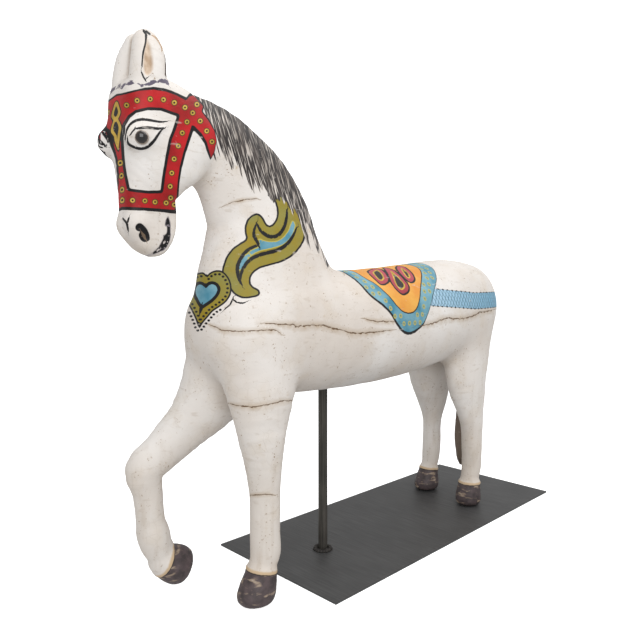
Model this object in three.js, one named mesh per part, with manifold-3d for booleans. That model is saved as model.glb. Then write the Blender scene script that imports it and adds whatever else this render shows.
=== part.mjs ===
// A carved and painted wooden carousel horse held by a steel rod on a steel plate.
// Millimetres, +Z up. The origin is the centre of the plate's underside.
// The horse faces -X and its left side is -Y.

import * as THREE from 'three';
import Module from 'manifold-3d';
import { mergeVertices } from 'three/addons/utils/BufferGeometryUtils.js';

// Driving sizes of the horse
const HORSE_HEIGHT = 992;          // soles to ear tips
const STATION_HEIGHT = 992;        // the horse height that the station rows are written for
const EYE_DIAMETER = 22;
const EYE_DOME = 6;                // how far an eye stands proud of its seat
const EYE_SEAT = 5;                // how deep an eye is let into the head

// Driving sizes of the stand
const PLATE_LENGTH = 850;
const PLATE_WIDTH = 364;
const PLATE_THICKNESS = 4;
const ROD_DIAMETER = 20;
const ROD_GRIP = 110;              // length of rod inside the belly
const COLLAR_DIAMETER = 46;
const COLLAR_HEIGHT = 7;
const COLLAR_CHAMFER = 2.8;
const ROD_BEHIND_PLATE_END = 144;  // from the plate's front end back to the rod's axis

// Clearances
const JOINT_GAP = 0.3;             // between pieces that touch
const ROD_CLEARANCE = 0.4;         // around the rod in the belly and in its collar
const CUT_PAST = 20;               // how far the cutter of an eye's seat runs past the eye

// Where the pieces stand
const SOLE_LEVEL = PLATE_THICKNESS + JOINT_GAP;
const ROD_X = ROD_BEHIND_PLATE_END - PLATE_LENGTH / 2;
const SCALE = HORSE_HEIGHT / STATION_HEIGHT;

// Sides of the round pieces
const ROUND_SIDES = 32;
const EYE_SIDES = 16;

// Stations of the body's limbs. A row is one cross-section:
// [along, across, above the soles, half depth fore and aft, half width across],
// in millimetres on a horse of STATION_HEIGHT.
const TORSO = [
  [232, 0, 544, 96, 92],
  [150, 0, 528, 119, 118],
  [40, 0, 507, 129, 126],
  [-90, 0, 494, 129, 130],
  [-220, 0, 488, 127, 130],
  [-340, 0, 490, 126, 122],
  [-440, 0, 498, 124, 112],
  [-504, 0, 496, 93, 97],
];
const NECK = [
  [-431, 0, 556, 158, 98],
  [-439, 0, 625, 133, 82],
  [-446, 0, 692, 115, 68],
  [-472, 0, 747, 103, 58],
  [-511, 0, 794, 86, 52],
  [-558, 0, 827, 76, 48],
  [-632, 0, 852, 62, 46],
];
const HEAD = [
  [-694, 0, 878, 40, 50],
  [-673, 0, 856, 62, 57],
  [-656, 0, 826, 80, 58],
  [-669, 0, 788, 62, 49],
  [-685, 0, 742, 44, 34],
  [-684, 0, 705, 45, 28],
  [-684, 0, 681, 43, 28],
  [-679, 0, 662, 30, 24],
];
const EAR = [
  [-696, 30, 876, 27, 25],
  [-695, 29, 910, 29, 25],
  [-691, 25, 944, 28, 22],
  [-688, 14, 968, 23, 17],
];
const NEAR_FORELEG = [
  [-501, -52, 466, 82, 58],
  [-503, -66, 391, 67, 52],
  [-508, -73, 333, 51, 43],
  [-508, -75, 285, 40, 38],
  [-505, -75, 237, 32, 32],
  [-503, -75, 186, 28, 28],
  [-504, -75, 124, 28, 28],
  [-503, -75, 92, 29, 28],
  [-510, -75, 66, 24, 24],
];
const FAR_FORELEG = [
  [-491, 50, 422, 91, 60],
  [-536, 62, 357, 63, 48],
  [-584, 70, 310, 46, 37],
  [-634, 72, 272, 38, 32],
  [-664, 72, 250, 35, 31],
  [-659, 72, 204, 27, 25],
  [-655, 72, 152, 26, 25],
  [-650, 72, 124, 30, 29],
  [-643, 72, 98, 28, 26],
  [-630, 72, 73, 23, 23],
];
const NEAR_HIND_LEG = [
  [211, -48, 496, 95, 54],
  [192, -60, 416, 83, 46],
  [181, -68, 341, 73, 39],
  [187, -74, 281, 54, 31],
  [195, -76, 226, 38, 27],
  [199, -76, 179, 30, 26],
  [200, -76, 126, 26, 26],
  [198, -76, 92, 25, 25],
  [190, -76, 64, 22, 22],
];
const FAR_HIND_LEG = [
  [180, 48, 496, 109, 61],
  [193, 60, 416, 92, 51],
  [208, 68, 341, 79, 42],
  [228, 74, 281, 61, 36],
  [232, 76, 226, 38, 27],
  [230, 76, 179, 27, 24],
  [228, 76, 126, 25, 25],
  [227, 76, 88, 25, 24],
  [221, 76, 62, 22, 22],
];
const TAIL = [
  [285, 0, 596, 18, 20],
  [299, 0, 536, 20, 22],
  [292, 0, 436, 19, 24],
  [286, 0, 346, 18, 20],
  [278, 0, 256, 18, 18],
  [267, 0, 196, 18, 18],
  [264, 0, 146, 17, 18],
  [268, 0, 100, 13, 14],
  [274, 0, 76, 8, 9],
];

// Hooves flare from the coronet to the sole, which is cut off flat.
const NEAR_FORE_HOOF = [
  [-513, -75, 58, 28, 28],
  [-518, -75, 36, 33, 32],
  [-526, -75, 12, 37, 35],
  [-531, -75, -10, 33, 31],
];
const FAR_FORE_HOOF = [
  [-631, 72, 68, 28, 28],
  [-616, 72, 58, 34, 34],
  [-603, 72, 50, 37, 36],
  [-589, 72, 42, 35, 34],
];
const NEAR_HIND_HOOF = [
  [192, -76, 57, 26, 27],
  [188, -76, 38, 31, 31],
  [186, -76, 14, 34, 33],
  [185, -76, -10, 31, 30],
];
const FAR_HIND_HOOF = [
  [219, 76, 57, 25, 26],
  [214, 76, 38, 30, 30],
  [208, 76, 14, 35, 34],
  [205, 76, -10, 33, 32],
];

// Rounded swellings of the head: [along, across, above the soles] and three radii
const JOWL = { centre: [-628, 22, 824], radii: [40, 30, 44] };
const NOSTRIL = { centre: [-712, 15, 682], radii: [17, 16, 18] };
const EYE_SOCKET = { centre: [-716, 44, 818], radii: [30, 17, 23] };

// How far an eye sits below the middle of its socket swelling, and where it looks
const EYE_DROP = 5;
const EYE_AIM = new THREE.Vector3(-0.55, 1, -0.2).normalize();

// Squareness of a section: 2 is an ellipse, more is boxier
const TORSO_SQUARENESS = 2.3;
const HEAD_SQUARENESS = 3.6;
const LIMB_SQUARENESS = 2;

// Width of the blend where two forms of the carving meet
const BLEND = {
  neck: 50,
  jowl: 22,
  nostril: 18,
  socket: 26,
  ear: 10,
  head: 24,
  foreleg: 50,
  hindLeg: 60,
  hoof: 5,
  tail: 12,
};
const HOOF_EDGE = 18;
const SOLE_EDGE = 24;

// Steps between two stations, and how far outside a limb it is still worked out
const STEPS = 3;
const HOOF_STEPS = 2;
const REACH = 80;

// Lattice on which the carving's surface is found: [start, end, cell]
const CELLS_ALONG = [[-800, -575, 15], [-575, -440, 17], [-440, 130, 41], [130, 360, 18]];
const CELLS_ACROSS = [[-180, -46, 19], [-46, 46, 13], [46, 180, 19]];
const CELLS_UP = [[-24, 72, 16], [72, 330, 32], [330, 640, 28], [640, 1030, 16]];
const CELL_MARGIN = 0.04;          // share of a cell that a vertex keeps from the cell's walls

// How a vertex is moved onto the surface: the step a slope is measured over, the longest move,
// the flattest slope believed, and how many times
const SETTLE = { step: 0.5, longest: 8, flattest: 0.2, turns: 3 };

// Vertices closer than this are one
const MERGE_DISTANCE = 1e-4;

function smoothMin(a, b, width) {
  const h = Math.max(width - Math.abs(a - b), 0) / width;
  return Math.min(a, b) - (h * h * h * width) / 6;
}

function smoothMax(a, b, width) {
  return -smoothMin(-a, -b, width);
}

// Cross-sections in between the stations, on a smooth curve through them
function refine(rows, steps) {
  const last = rows.length - 1;
  const extend = (a, b) => a.map((value, i) => 2 * value - b[i]);
  const points = [extend(rows[0], rows[1]), ...rows, extend(rows[last], rows[last - 1])];
  const sections = [];
  for (let i = 1; i <= last; i++) {
    for (let s = 0; s < steps; s++) {
      const t = s / steps;
      sections.push(rows[0].map((_, k) => {
        const [a, b, c, d] = [points[i - 1][k], points[i][k], points[i + 1][k], points[i + 2][k]];
        const curve = (2 * a - 5 * b + 4 * c - d) * t * t + (3 * b - a - 3 * c + d) * t * t * t;
        return 0.5 * (2 * b + (c - a) * t + curve);
      }));
    }
  }
  sections.push(rows[last]);
  return sections;
}

// Signed distance to one section of a limb, near enough to blend and to find the surface
function sectionDistance(fore, side, depth, width, squareness) {
  const u = Math.pow(fore / depth, squareness);
  const v = Math.pow(side / width, squareness);
  const level = Math.pow(u + v, 1 / squareness);
  if (level < 1e-3) return -Math.min(depth, width);
  const slope = Math.hypot(u / Math.max(fore, 1e-6), v / Math.max(side, 1e-6));
  const distance = ((level - 1) * Math.pow(level, squareness - 1)) / slope;
  return Math.max(distance, -Math.min(depth, width));
}

// A limb: sections swept along its stations. Returns its signed distance function.
function limb(rows, squareness = LIMB_SQUARENESS, steps = STEPS) {
  const sections = refine(rows, steps);
  const box = new THREE.Box3();
  for (const [x, y, z, depth, width] of sections) {
    const radius = Math.max(depth, width) + REACH;
    box.union(new THREE.Box3(
      new THREE.Vector3(x - radius, y - radius, z - radius),
      new THREE.Vector3(x + radius, y + radius, z + radius),
    ));
  }
  const point = new THREE.Vector3();
  return (x, y, z) => {
    if (!box.containsPoint(point.set(x, y, z))) return REACH;
    let nearest = Infinity;
    for (let i = 0; i + 1 < sections.length; i++) {
      const [ax, ay, az, depthA, widthA] = sections[i];
      const [bx, by, bz, depthB, widthB] = sections[i + 1];
      const [dx, dy, dz] = [bx - ax, by - ay, bz - az];
      const along = (x - ax) * dx + (y - ay) * dy + (z - az) * dz;
      const t = Math.min(Math.max(along / (dx * dx + dy * dy + dz * dz), 0), 1);
      const fore = Math.hypot(x - ax - t * dx, z - az - t * dz);
      const side = Math.abs(y - ay - t * dy);
      const depth = depthA + t * (depthB - depthA);
      const width = widthA + t * (widthB - widthA);
      nearest = Math.min(nearest, sectionDistance(fore, side, depth, width, squareness));
    }
    return nearest;
  };
}

// A hoof is a short limb cut square across its last station.
function hoof(rows) {
  const body = limb(rows, LIMB_SQUARENESS, HOOF_STEPS);
  const end = new THREE.Vector3(...rows[rows.length - 1]);
  const out = end.clone().sub(new THREE.Vector3(...rows[rows.length - 2])).normalize();
  return (x, y, z) => {
    const past = (x - end.x) * out.x + (y - end.y) * out.y + (z - end.z) * out.z;
    return smoothMax(body(x, y, z), past, HOOF_EDGE);
  };
}

function swelling({ centre, radii }) {
  return (x, y, z) => {
    const offset = [x - centre[0], y - centre[1], z - centre[2]];
    const level = Math.hypot(...offset.map((value, i) => value / radii[i]));
    const slope = Math.hypot(...offset.map((value, i) => value / radii[i] ** 2));
    return slope < 1e-9 ? -Math.min(...radii) : ((level - 1) * level) / slope;
  };
}

// The whole carving, as one signed distance in the station rows' own millimetres
function horseForm() {
  const torso = limb(TORSO, TORSO_SQUARENESS);
  const neck = limb(NECK);
  const skull = limb(HEAD, HEAD_SQUARENESS);
  const jowl = swelling(JOWL);
  const nostril = swelling(NOSTRIL);
  const socket = swelling(EYE_SOCKET);
  const ear = limb(EAR);
  const tail = limb(TAIL);
  const legs = [
    [limb(NEAR_FORELEG), hoof(NEAR_FORE_HOOF), BLEND.foreleg],
    [limb(FAR_FORELEG), hoof(FAR_FORE_HOOF), BLEND.foreleg],
    [limb(NEAR_HIND_LEG), hoof(NEAR_HIND_HOOF), BLEND.hindLeg],
    [limb(FAR_HIND_LEG), hoof(FAR_HIND_HOOF), BLEND.hindLeg],
  ];
  return (x, y, z) => {
    const side = Math.abs(y);
    let head = skull(x, y, z);
    head = smoothMin(head, jowl(x, side, z), BLEND.jowl);
    head = smoothMin(head, nostril(x, side, z), BLEND.nostril);
    head = smoothMin(head, socket(x, side, z), BLEND.socket);
    head = smoothMin(head, ear(x, side, z), BLEND.ear);
    let body = smoothMin(torso(x, y, z), neck(x, y, z), BLEND.neck);
    body = smoothMin(body, head, BLEND.head);
    for (const [leg, foot, blend] of legs) {
      body = smoothMin(body, leg(x, y, z), blend);
      body = smoothMin(body, foot(x, y, z), BLEND.hoof);
    }
    body = smoothMin(body, tail(x, y, z), BLEND.tail);
    return smoothMax(body, -z, SOLE_EDGE);
  };
}

const form = horseForm();

function latticeLines(stretches) {
  const lines = [stretches[0][0]];
  for (const [start, end, cell] of stretches) {
    const count = Math.round((end - start) / cell);
    for (let i = 1; i <= count; i++) lines.push(start + ((end - start) * i) / count);
  }
  return lines;
}

// Moves a point onto the carving's surface
function settle(point) {
  const { step, longest, flattest, turns } = SETTLE;
  for (let turn = 0; turn < turns; turn++) {
    const [x, y, z] = point;
    const distance = form(x, y, z);
    const slope = [
      (form(x + step, y, z) - distance) / step,
      (form(x, y + step, z) - distance) / step,
      (form(x, y, z + step) - distance) / step,
    ];
    const square = Math.max(slope[0] ** 2 + slope[1] ** 2 + slope[2] ** 2, flattest);
    const move = Math.min(Math.max(distance, -longest), longest) / square;
    for (let k = 0; k < 3; k++) point[k] -= move * slope[k];
  }
  return point;
}

// Where a lattice face is inside at two opposite corners alone, two sheets of the surface would
// share an edge there. The shallower of the two corners is put outside.
function partSheets(values, [nx, ny, nz], at) {
  const outside = 1e-3;
  const steps = [[1, 0, 0], [0, 1, 0], [0, 0, 1]];
  let changed = true;
  while (changed) {
    changed = false;
    for (let axis = 0; axis < 3; axis++) {
      const [u, v] = [steps[(axis + 1) % 3], steps[(axis + 2) % 3]];
      for (let i = 0; i + u[0] + v[0] < nx; i++) {
        for (let j = 0; j + u[1] + v[1] < ny; j++) {
          for (let k = 0; k + u[2] + v[2] < nz; k++) {
            const ids = [[0, 0], [1, 0], [1, 1], [0, 1]].map(([a, b]) => (
              at(i + a * u[0] + b * v[0], j + a * u[1] + b * v[1], k + a * u[2] + b * v[2])
            ));
            const [a, b, c, d] = ids.map((id) => values[id] < 0);
            if (a !== c || b !== d || a === b) continue;
            const [one, other] = a ? [ids[0], ids[2]] : [ids[1], ids[3]];
            values[values[one] > values[other] ? one : other] = outside;
            changed = true;
          }
        }
      }
    }
  }
}

// One vertex in each lattice cell that the surface crosses, and one quad for each crossed edge
function carvedSurface() {
  const lines = [latticeLines(CELLS_ALONG), latticeLines(CELLS_ACROSS), latticeLines(CELLS_UP)];
  const [nx, ny, nz] = lines.map((line) => line.length);
  const at = (i, j, k) => (i * ny + j) * nz + k;
  const values = new Float64Array(nx * ny * nz);
  for (let i = 0; i < nx; i++) {
    for (let j = 0; j < ny; j++) {
      for (let k = 0; k < nz; k++) values[at(i, j, k)] = form(lines[0][i], lines[1][j], lines[2][k]);
    }
  }
  partSheets(values, [nx, ny, nz], at);
  const positions = [];
  const cellVertex = new Map();
  const corners = [0, 1, 2, 3, 4, 5, 6, 7].map((n) => [n >> 2, (n >> 1) & 1, n & 1]);
  for (let i = 0; i + 1 < nx; i++) {
    for (let j = 0; j + 1 < ny; j++) {
      for (let k = 0; k + 1 < nz; k++) {
        const crossings = [];
        for (const corner of corners) {
          for (let axis = 0; axis < 3; axis++) {
            if (corner[axis] === 1) continue;
            const from = [i + corner[0], j + corner[1], k + corner[2]];
            const to = from.map((value, n) => value + (n === axis ? 1 : 0));
            const a = values[at(...from)];
            const b = values[at(...to)];
            if (a < 0 === b < 0) continue;
            const place = from.map((value, n) => lines[n][value]);
            place[axis] += (a / (a - b)) * (lines[axis][to[axis]] - lines[axis][from[axis]]);
            crossings.push(place);
          }
        }
        if (crossings.length === 0) continue;
        const mean = [0, 1, 2].map((n) => (
          crossings.reduce((sum, place) => sum + place[n], 0) / crossings.length
        ));
        cellVertex.set(at(i, j, k), positions.length / 3);
        positions.push(...settle(mean).map((value, n) => {
          const line = [i, j, k][n];
          const [start, end] = [lines[n][line], lines[n][line + 1]];
          const margin = CELL_MARGIN * (end - start);
          return Math.min(Math.max(value, start + margin), end - margin);
        }));
      }
    }
  }
  const indices = [];
  const vertex = (n) => new THREE.Vector3().fromArray(positions, 3 * n);
  const addQuad = ([a, b, c, d]) => {
    const split = vertex(a).distanceTo(vertex(c)) <= vertex(b).distanceTo(vertex(d));
    indices.push(...(split ? [a, b, c, a, c, d] : [a, b, d, b, c, d]));
  };
  for (let axis = 0; axis < 3; axis++) {
    const [u, v] = [(axis + 1) % 3, (axis + 2) % 3];
    for (let i = 1; i + 1 < nx; i++) {
      for (let j = 1; j + 1 < ny; j++) {
        for (let k = 1; k + 1 < nz; k++) {
          const next = [i, j, k];
          next[axis] += 1;
          const inA = values[at(i, j, k)] < 0;
          const inB = values[at(...next)] < 0;
          if (inA === inB) continue;
          const around = [[1, 1], [0, 1], [0, 0], [1, 0]].map(([du, dv]) => {
            const cell = [i, j, k];
            cell[u] -= du;
            cell[v] -= dv;
            return cellVertex.get(at(...cell));
          });
          addQuad(inA ? around : around.reverse());
        }
      }
    }
  }
  const geometry = new THREE.BufferGeometry();
  geometry.setAttribute('position', new THREE.Float32BufferAttribute(positions, 3));
  geometry.setIndex(indices);
  geometry.scale(SCALE, SCALE, SCALE);
  geometry.translate(0, 0, SOLE_LEVEL);
  return geometry;
}

const wasm = await Module();
wasm.setup();

function toSolid(geometry) {
  const bare = geometry.clone();
  bare.deleteAttribute('normal');
  bare.deleteAttribute('uv');
  const merged = mergeVertices(bare, MERGE_DISTANCE);
  return new wasm.Manifold(new wasm.Mesh({
    numProp: 3,
    vertProperties: new Float32Array(merged.attributes.position.array),
    triVerts: new Uint32Array(merged.index.array),
  }));
}

function fromSolid(solid) {
  const { vertProperties, triVerts } = solid.getMesh();
  const geometry = new THREE.BufferGeometry();
  geometry.setAttribute('position', new THREE.Float32BufferAttribute(vertProperties, 3));
  geometry.setIndex(Array.from(triVerts));
  return geometry;
}

// Height above the floor at which the carving's underside starts over a place
function undersideHeight(x, y) {
  let z = 0;
  while (form(x / SCALE, y / SCALE, z) > 0) z += 1;
  return z * SCALE + SOLE_LEVEL;
}

// The point where an eye's axis leaves the head, and the axis, for one side (-1 or 1)
function eyeSeat(side) {
  const aim = new THREE.Vector3(EYE_AIM.x, side * EYE_AIM.y, EYE_AIM.z);
  const [x, y, z] = EYE_SOCKET.centre;
  const point = new THREE.Vector3(x, side * y, z - EYE_DROP);
  while (form(point.x, point.y, point.z) < 0) point.addScaledVector(aim, 0.25);
  const place = point.multiplyScalar(SCALE);
  place.z += SOLE_LEVEL;
  return { place, aim };
}

const UP = new THREE.Vector3(0, 0, 1);

function rodSocket() {
  const bottom = PLATE_THICKNESS + JOINT_GAP;
  const top = rodTop() + JOINT_GAP;
  const radius = ROD_DIAMETER / 2 + ROD_CLEARANCE;
  const hole = new THREE.CylinderGeometry(radius, radius, top - bottom, ROUND_SIDES);
  hole.rotateX(Math.PI / 2);
  hole.translate(ROD_X, 0, (top + bottom) / 2);
  return hole;
}

function eyeSocket(side) {
  const { place, aim } = eyeSeat(side);
  const radius = EYE_DIAMETER / 2 + JOINT_GAP;
  const length = EYE_SEAT + JOINT_GAP + EYE_DOME + CUT_PAST;
  const hole = new THREE.CylinderGeometry(radius, radius, length, EYE_SIDES);
  hole.rotateX(Math.PI / 2);
  hole.translate(0, 0, length / 2 - EYE_SEAT - JOINT_GAP);
  hole.applyQuaternion(new THREE.Quaternion().setFromUnitVectors(UP, aim));
  hole.translate(place.x, place.y, place.z);
  return hole;
}

function rodTop() {
  return undersideHeight(ROD_X, 0) + ROD_GRIP;
}

function horse() {
  let solid = toSolid(carvedSurface());
  for (const cutter of [rodSocket(), eyeSocket(-1), eyeSocket(1)]) {
    solid = solid.subtract(toSolid(cutter));
  }
  return fromSolid(solid);
}

// An eye is a short plug with a domed front, in its own frame with the dome up.
function eye() {
  const radius = EYE_DIAMETER / 2;
  const rings = 3;
  const profile = [new THREE.Vector2(0, -EYE_SEAT), new THREE.Vector2(radius, -EYE_SEAT)];
  for (let i = 0; i < rings; i++) {
    const angle = (i / rings) * (Math.PI / 2);
    profile.push(new THREE.Vector2(radius * Math.cos(angle), EYE_DOME * Math.sin(angle)));
  }
  profile.push(new THREE.Vector2(0, EYE_DOME));
  const geometry = new THREE.LatheGeometry(profile, EYE_SIDES);
  geometry.rotateX(Math.PI / 2);
  return geometry;
}

function plate() {
  const geometry = new THREE.BoxGeometry(PLATE_LENGTH, PLATE_WIDTH, PLATE_THICKNESS);
  geometry.translate(0, 0, PLATE_THICKNESS / 2);
  return geometry;
}

function rod() {
  const foot = PLATE_THICKNESS + JOINT_GAP;
  const length = rodTop() - foot;
  const geometry = new THREE.CylinderGeometry(ROD_DIAMETER / 2, ROD_DIAMETER / 2, length, ROUND_SIDES);
  geometry.rotateX(Math.PI / 2);
  geometry.translate(ROD_X, 0, foot + length / 2);
  return geometry;
}

// A ring around the rod's foot with a chamfered top edge
function collar() {
  const bore = ROD_DIAMETER / 2 + ROD_CLEARANCE;
  const outer = COLLAR_DIAMETER / 2;
  const foot = PLATE_THICKNESS + JOINT_GAP;
  const profile = [
    new THREE.Vector2(bore, foot),
    new THREE.Vector2(outer, foot),
    new THREE.Vector2(outer, foot + COLLAR_HEIGHT - COLLAR_CHAMFER),
    new THREE.Vector2(outer - COLLAR_CHAMFER, foot + COLLAR_HEIGHT),
    new THREE.Vector2(bore, foot + COLLAR_HEIGHT),
    new THREE.Vector2(bore, foot),
  ];
  const geometry = new THREE.LatheGeometry(profile, ROUND_SIDES);
  geometry.rotateX(Math.PI / 2);
  geometry.translate(ROD_X, 0, 0);
  return geometry;
}

function piece(name, geometry, colour, roughness, metalness) {
  const material = new THREE.MeshStandardMaterial({ color: colour, roughness, metalness });
  const mesh = new THREE.Mesh(geometry, material);
  mesh.name = name;
  return mesh;
}

const group = new THREE.Group();
group.add(piece('horse', horse(), 0xe6e0d8, 0.55, 0));
for (const [name, side] of [['eye_left', -1], ['eye_right', 1]]) {
  const { place, aim } = eyeSeat(side);
  const mesh = piece(name, eye(), 0x0c0c10, 0.08, 0);
  mesh.quaternion.setFromUnitVectors(UP, aim);
  mesh.position.copy(place);
  group.add(mesh);
}
group.add(piece('base_plate', plate(), 0x3a3a3c, 0.6, 0.6));
group.add(piece('rod', rod(), 0x3a3a3c, 0.5, 0.7));
group.add(piece('rod_collar', collar(), 0x3a3a3c, 0.5, 0.7));

export default group;
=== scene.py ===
# A carousel horse of carved, jointed and painted wood, with glass eyes, on a steel rod and plate.
# The carving is worked out in millimetres above the floor and made a mesh in metres. The horse
# faces -X and its left side is -Y. Most of the ornament is drawn on the left and mirrored.

import math

import bmesh
import bpy
import numpy as np
from bpy.props import FloatProperty, FloatVectorProperty, IntProperty, PointerProperty
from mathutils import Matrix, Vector, noise


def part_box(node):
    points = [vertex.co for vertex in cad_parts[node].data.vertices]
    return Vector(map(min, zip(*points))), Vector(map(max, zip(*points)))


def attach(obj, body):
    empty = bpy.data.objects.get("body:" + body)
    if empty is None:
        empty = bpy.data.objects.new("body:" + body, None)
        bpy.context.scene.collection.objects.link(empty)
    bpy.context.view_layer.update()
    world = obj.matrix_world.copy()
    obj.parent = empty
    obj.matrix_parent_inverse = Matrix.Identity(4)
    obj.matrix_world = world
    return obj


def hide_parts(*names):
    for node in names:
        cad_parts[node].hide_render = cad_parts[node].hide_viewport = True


bl_info = {
    "name": "Painted carousel horse",
    "version": (1, 0, 0),
    "blender": (4, 5, 0),
    "location": "3D View > Sidebar > Carousel horse",
    "description": "Builds a carved and painted wooden carousel horse on its steel stand",
    "category": "Object",
}

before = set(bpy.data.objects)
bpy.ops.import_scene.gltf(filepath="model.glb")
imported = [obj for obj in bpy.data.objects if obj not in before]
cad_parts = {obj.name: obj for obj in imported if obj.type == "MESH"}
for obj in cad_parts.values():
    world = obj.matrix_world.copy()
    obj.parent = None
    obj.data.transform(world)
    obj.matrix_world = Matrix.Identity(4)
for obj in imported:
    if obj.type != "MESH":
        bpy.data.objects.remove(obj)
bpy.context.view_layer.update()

MM = 0.001


def linear(code):
    """A linear colour with alpha from an sRGB hex code."""
    shares = [int(code[i:i + 2], 16) / 255 for i in (1, 3, 5)]
    return tuple(s / 12.92 if s <= 0.04045 else ((s + 0.055) / 1.055) ** 2.4 for s in shares) + (1.0,)


# The carving: stations of the body's limbs. A row is one cross-section,
# (along, across, above the soles, half depth fore and aft, half width across).

TORSO = [
    (232, 0, 544, 96, 92), (150, 0, 528, 119, 118), (40, 0, 507, 129, 126), (-90, 0, 494, 129, 130),
    (-220, 0, 488, 127, 130), (-340, 0, 490, 126, 122), (-440, 0, 498, 124, 112), (-504, 0, 496, 93, 97),
]
NECK = [
    (-431, 0, 556, 158, 98), (-439, 0, 625, 133, 82), (-446, 0, 692, 115, 68), (-472, 0, 747, 103, 58),
    (-511, 0, 794, 86, 52), (-558, 0, 827, 76, 48), (-632, 0, 852, 62, 46),
]
HEAD = [
    (-694, 0, 878, 40, 50), (-673, 0, 856, 62, 57), (-656, 0, 826, 80, 58), (-669, 0, 788, 62, 49),
    (-685, 0, 742, 44, 34), (-684, 0, 705, 45, 28), (-684, 0, 681, 43, 28), (-679, 0, 662, 30, 24),
]
EAR = [(-696, 30, 876, 27, 25), (-695, 29, 910, 29, 25), (-691, 25, 944, 28, 22), (-688, 14, 968, 23, 17)]
NEAR_FORELEG = [
    (-501, -52, 466, 82, 58), (-503, -66, 391, 67, 52), (-508, -73, 333, 51, 43),
    (-508, -75, 285, 40, 38), (-505, -75, 237, 32, 32), (-503, -75, 186, 28, 28),
    (-504, -75, 124, 28, 28), (-503, -75, 92, 29, 28), (-510, -75, 66, 24, 24),
]
FAR_FORELEG = [
    (-491, 50, 422, 91, 60), (-536, 62, 357, 63, 48), (-584, 70, 310, 46, 37),
    (-634, 72, 272, 38, 32), (-664, 72, 250, 35, 31), (-659, 72, 204, 27, 25),
    (-655, 72, 152, 26, 25), (-650, 72, 124, 30, 29), (-643, 72, 98, 28, 26),
    (-630, 72, 73, 23, 23),
]
NEAR_HIND_LEG = [
    (211, -48, 496, 95, 54), (192, -60, 416, 83, 46), (181, -68, 341, 73, 39),
    (187, -74, 281, 54, 31), (195, -76, 226, 38, 27), (199, -76, 179, 30, 26),
    (200, -76, 126, 26, 26), (198, -76, 92, 25, 25), (190, -76, 64, 22, 22),
]
FAR_HIND_LEG = [
    (180, 48, 496, 109, 61), (193, 60, 416, 92, 51), (208, 68, 341, 79, 42), (228, 74, 281, 61, 36),
    (232, 76, 226, 38, 27), (230, 76, 179, 27, 24), (228, 76, 126, 25, 25), (227, 76, 88, 25, 24),
    (221, 76, 62, 22, 22),
]
TAIL = [
    (285, 0, 596, 18, 20), (299, 0, 536, 20, 22), (292, 0, 436, 19, 24), (286, 0, 346, 18, 20),
    (278, 0, 256, 18, 18), (267, 0, 196, 18, 18), (264, 0, 146, 17, 18), (268, 0, 100, 13, 14),
    (274, 0, 76, 8, 9),
]
NEAR_FORE_HOOF = [
    (-513, -75, 58, 28, 28), (-518, -75, 36, 33, 32), (-526, -75, 12, 37, 35), (-531, -75, -10, 33, 31),
]
FAR_FORE_HOOF = [
    (-631, 72, 68, 28, 28), (-616, 72, 58, 34, 34), (-603, 72, 50, 37, 36), (-589, 72, 42, 35, 34),
]
NEAR_HIND_HOOF = [
    (192, -76, 57, 26, 27), (188, -76, 38, 31, 31), (186, -76, 14, 34, 33), (185, -76, -10, 31, 30),
]
FAR_HIND_HOOF = [
    (219, 76, 57, 25, 26), (214, 76, 38, 30, 30), (208, 76, 14, 35, 34), (205, 76, -10, 33, 32),
]
HOOVES = [NEAR_FORE_HOOF, FAR_FORE_HOOF, NEAR_HIND_HOOF, FAR_HIND_HOOF]

# Rounded swellings of the head: centre and three radii
JOWL = ((-628, 22, 824), (40, 30, 44))
NOSTRIL = ((-712, 15, 682), (17, 16, 18))
EYE_SOCKET = ((-716, 44, 818), (30, 17, 23))
EYE_DROP = 5          # how far the eye sits below the middle of its socket
EYE_AIM = (-0.55, 1, -0.2)

TORSO_SQUARENESS, HEAD_SQUARENESS, LIMB_SQUARENESS = 2.3, 3.6, 2.0
BLEND = {
    "neck": 50, "jowl": 22, "nostril": 18, "socket": 26, "ear": 10, "head": 24,
    "foreleg": 50, "hind leg": 60, "hoof": 5, "tail": 12,
}
HOOF_EDGE, SOLE_EDGE = 18, 24
STEPS, HOOF_STEPS = 3, 2
REACH = 80.0          # how far outside a limb its distance is worked out
SOLE_LEVEL = 4.3      # the soles' height above the floor

LEGS = [
    (NEAR_FORELEG, NEAR_FORE_HOOF, "foreleg"), (FAR_FORELEG, FAR_FORE_HOOF, "foreleg"),
    (NEAR_HIND_LEG, NEAR_HIND_HOOF, "hind leg"), (FAR_HIND_LEG, FAR_HIND_HOOF, "hind leg"),
]


def smooth_min(a, b, width):
    share = np.maximum(width - np.abs(a - b), 0.0) / width
    return np.minimum(a, b) - share ** 3 * width / 6


def through(points, steps, closed=False):
    """More points on a smooth curve through the given ones."""
    points = np.array(points, float)
    if closed:
        ends = [points[-1:], points, points[:2]]
    else:
        ends = [2 * points[:1] - points[1:2], points, 2 * points[-1:] - points[-2:-1]]
    points = np.vstack(ends)
    found = []
    for a, b, c, d in zip(points, points[1:], points[2:], points[3:]):
        for t in np.arange(steps) / steps:
            curve = (2 * a - 5 * b + 4 * c - d) * t ** 2 + (3 * b - a - 3 * c + d) * t ** 3
            found.append(0.5 * (2 * b + (c - a) * t + curve))
    return np.array(found if closed else found + [points[-2]])


def section_distance(fore, side, depth, width, squareness):
    u, v = (fore / depth) ** squareness, (side / width) ** squareness
    level = (u + v) ** (1 / squareness)
    lift = level ** (squareness - 1)
    slope = np.hypot(u / np.maximum(fore, 1e-6), v / np.maximum(side, 1e-6))
    least = -np.minimum(depth, width)
    distance = np.maximum((level - 1) * lift / np.maximum(slope, 1e-12), least)
    return np.where(level < 1e-3, least, distance)


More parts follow.
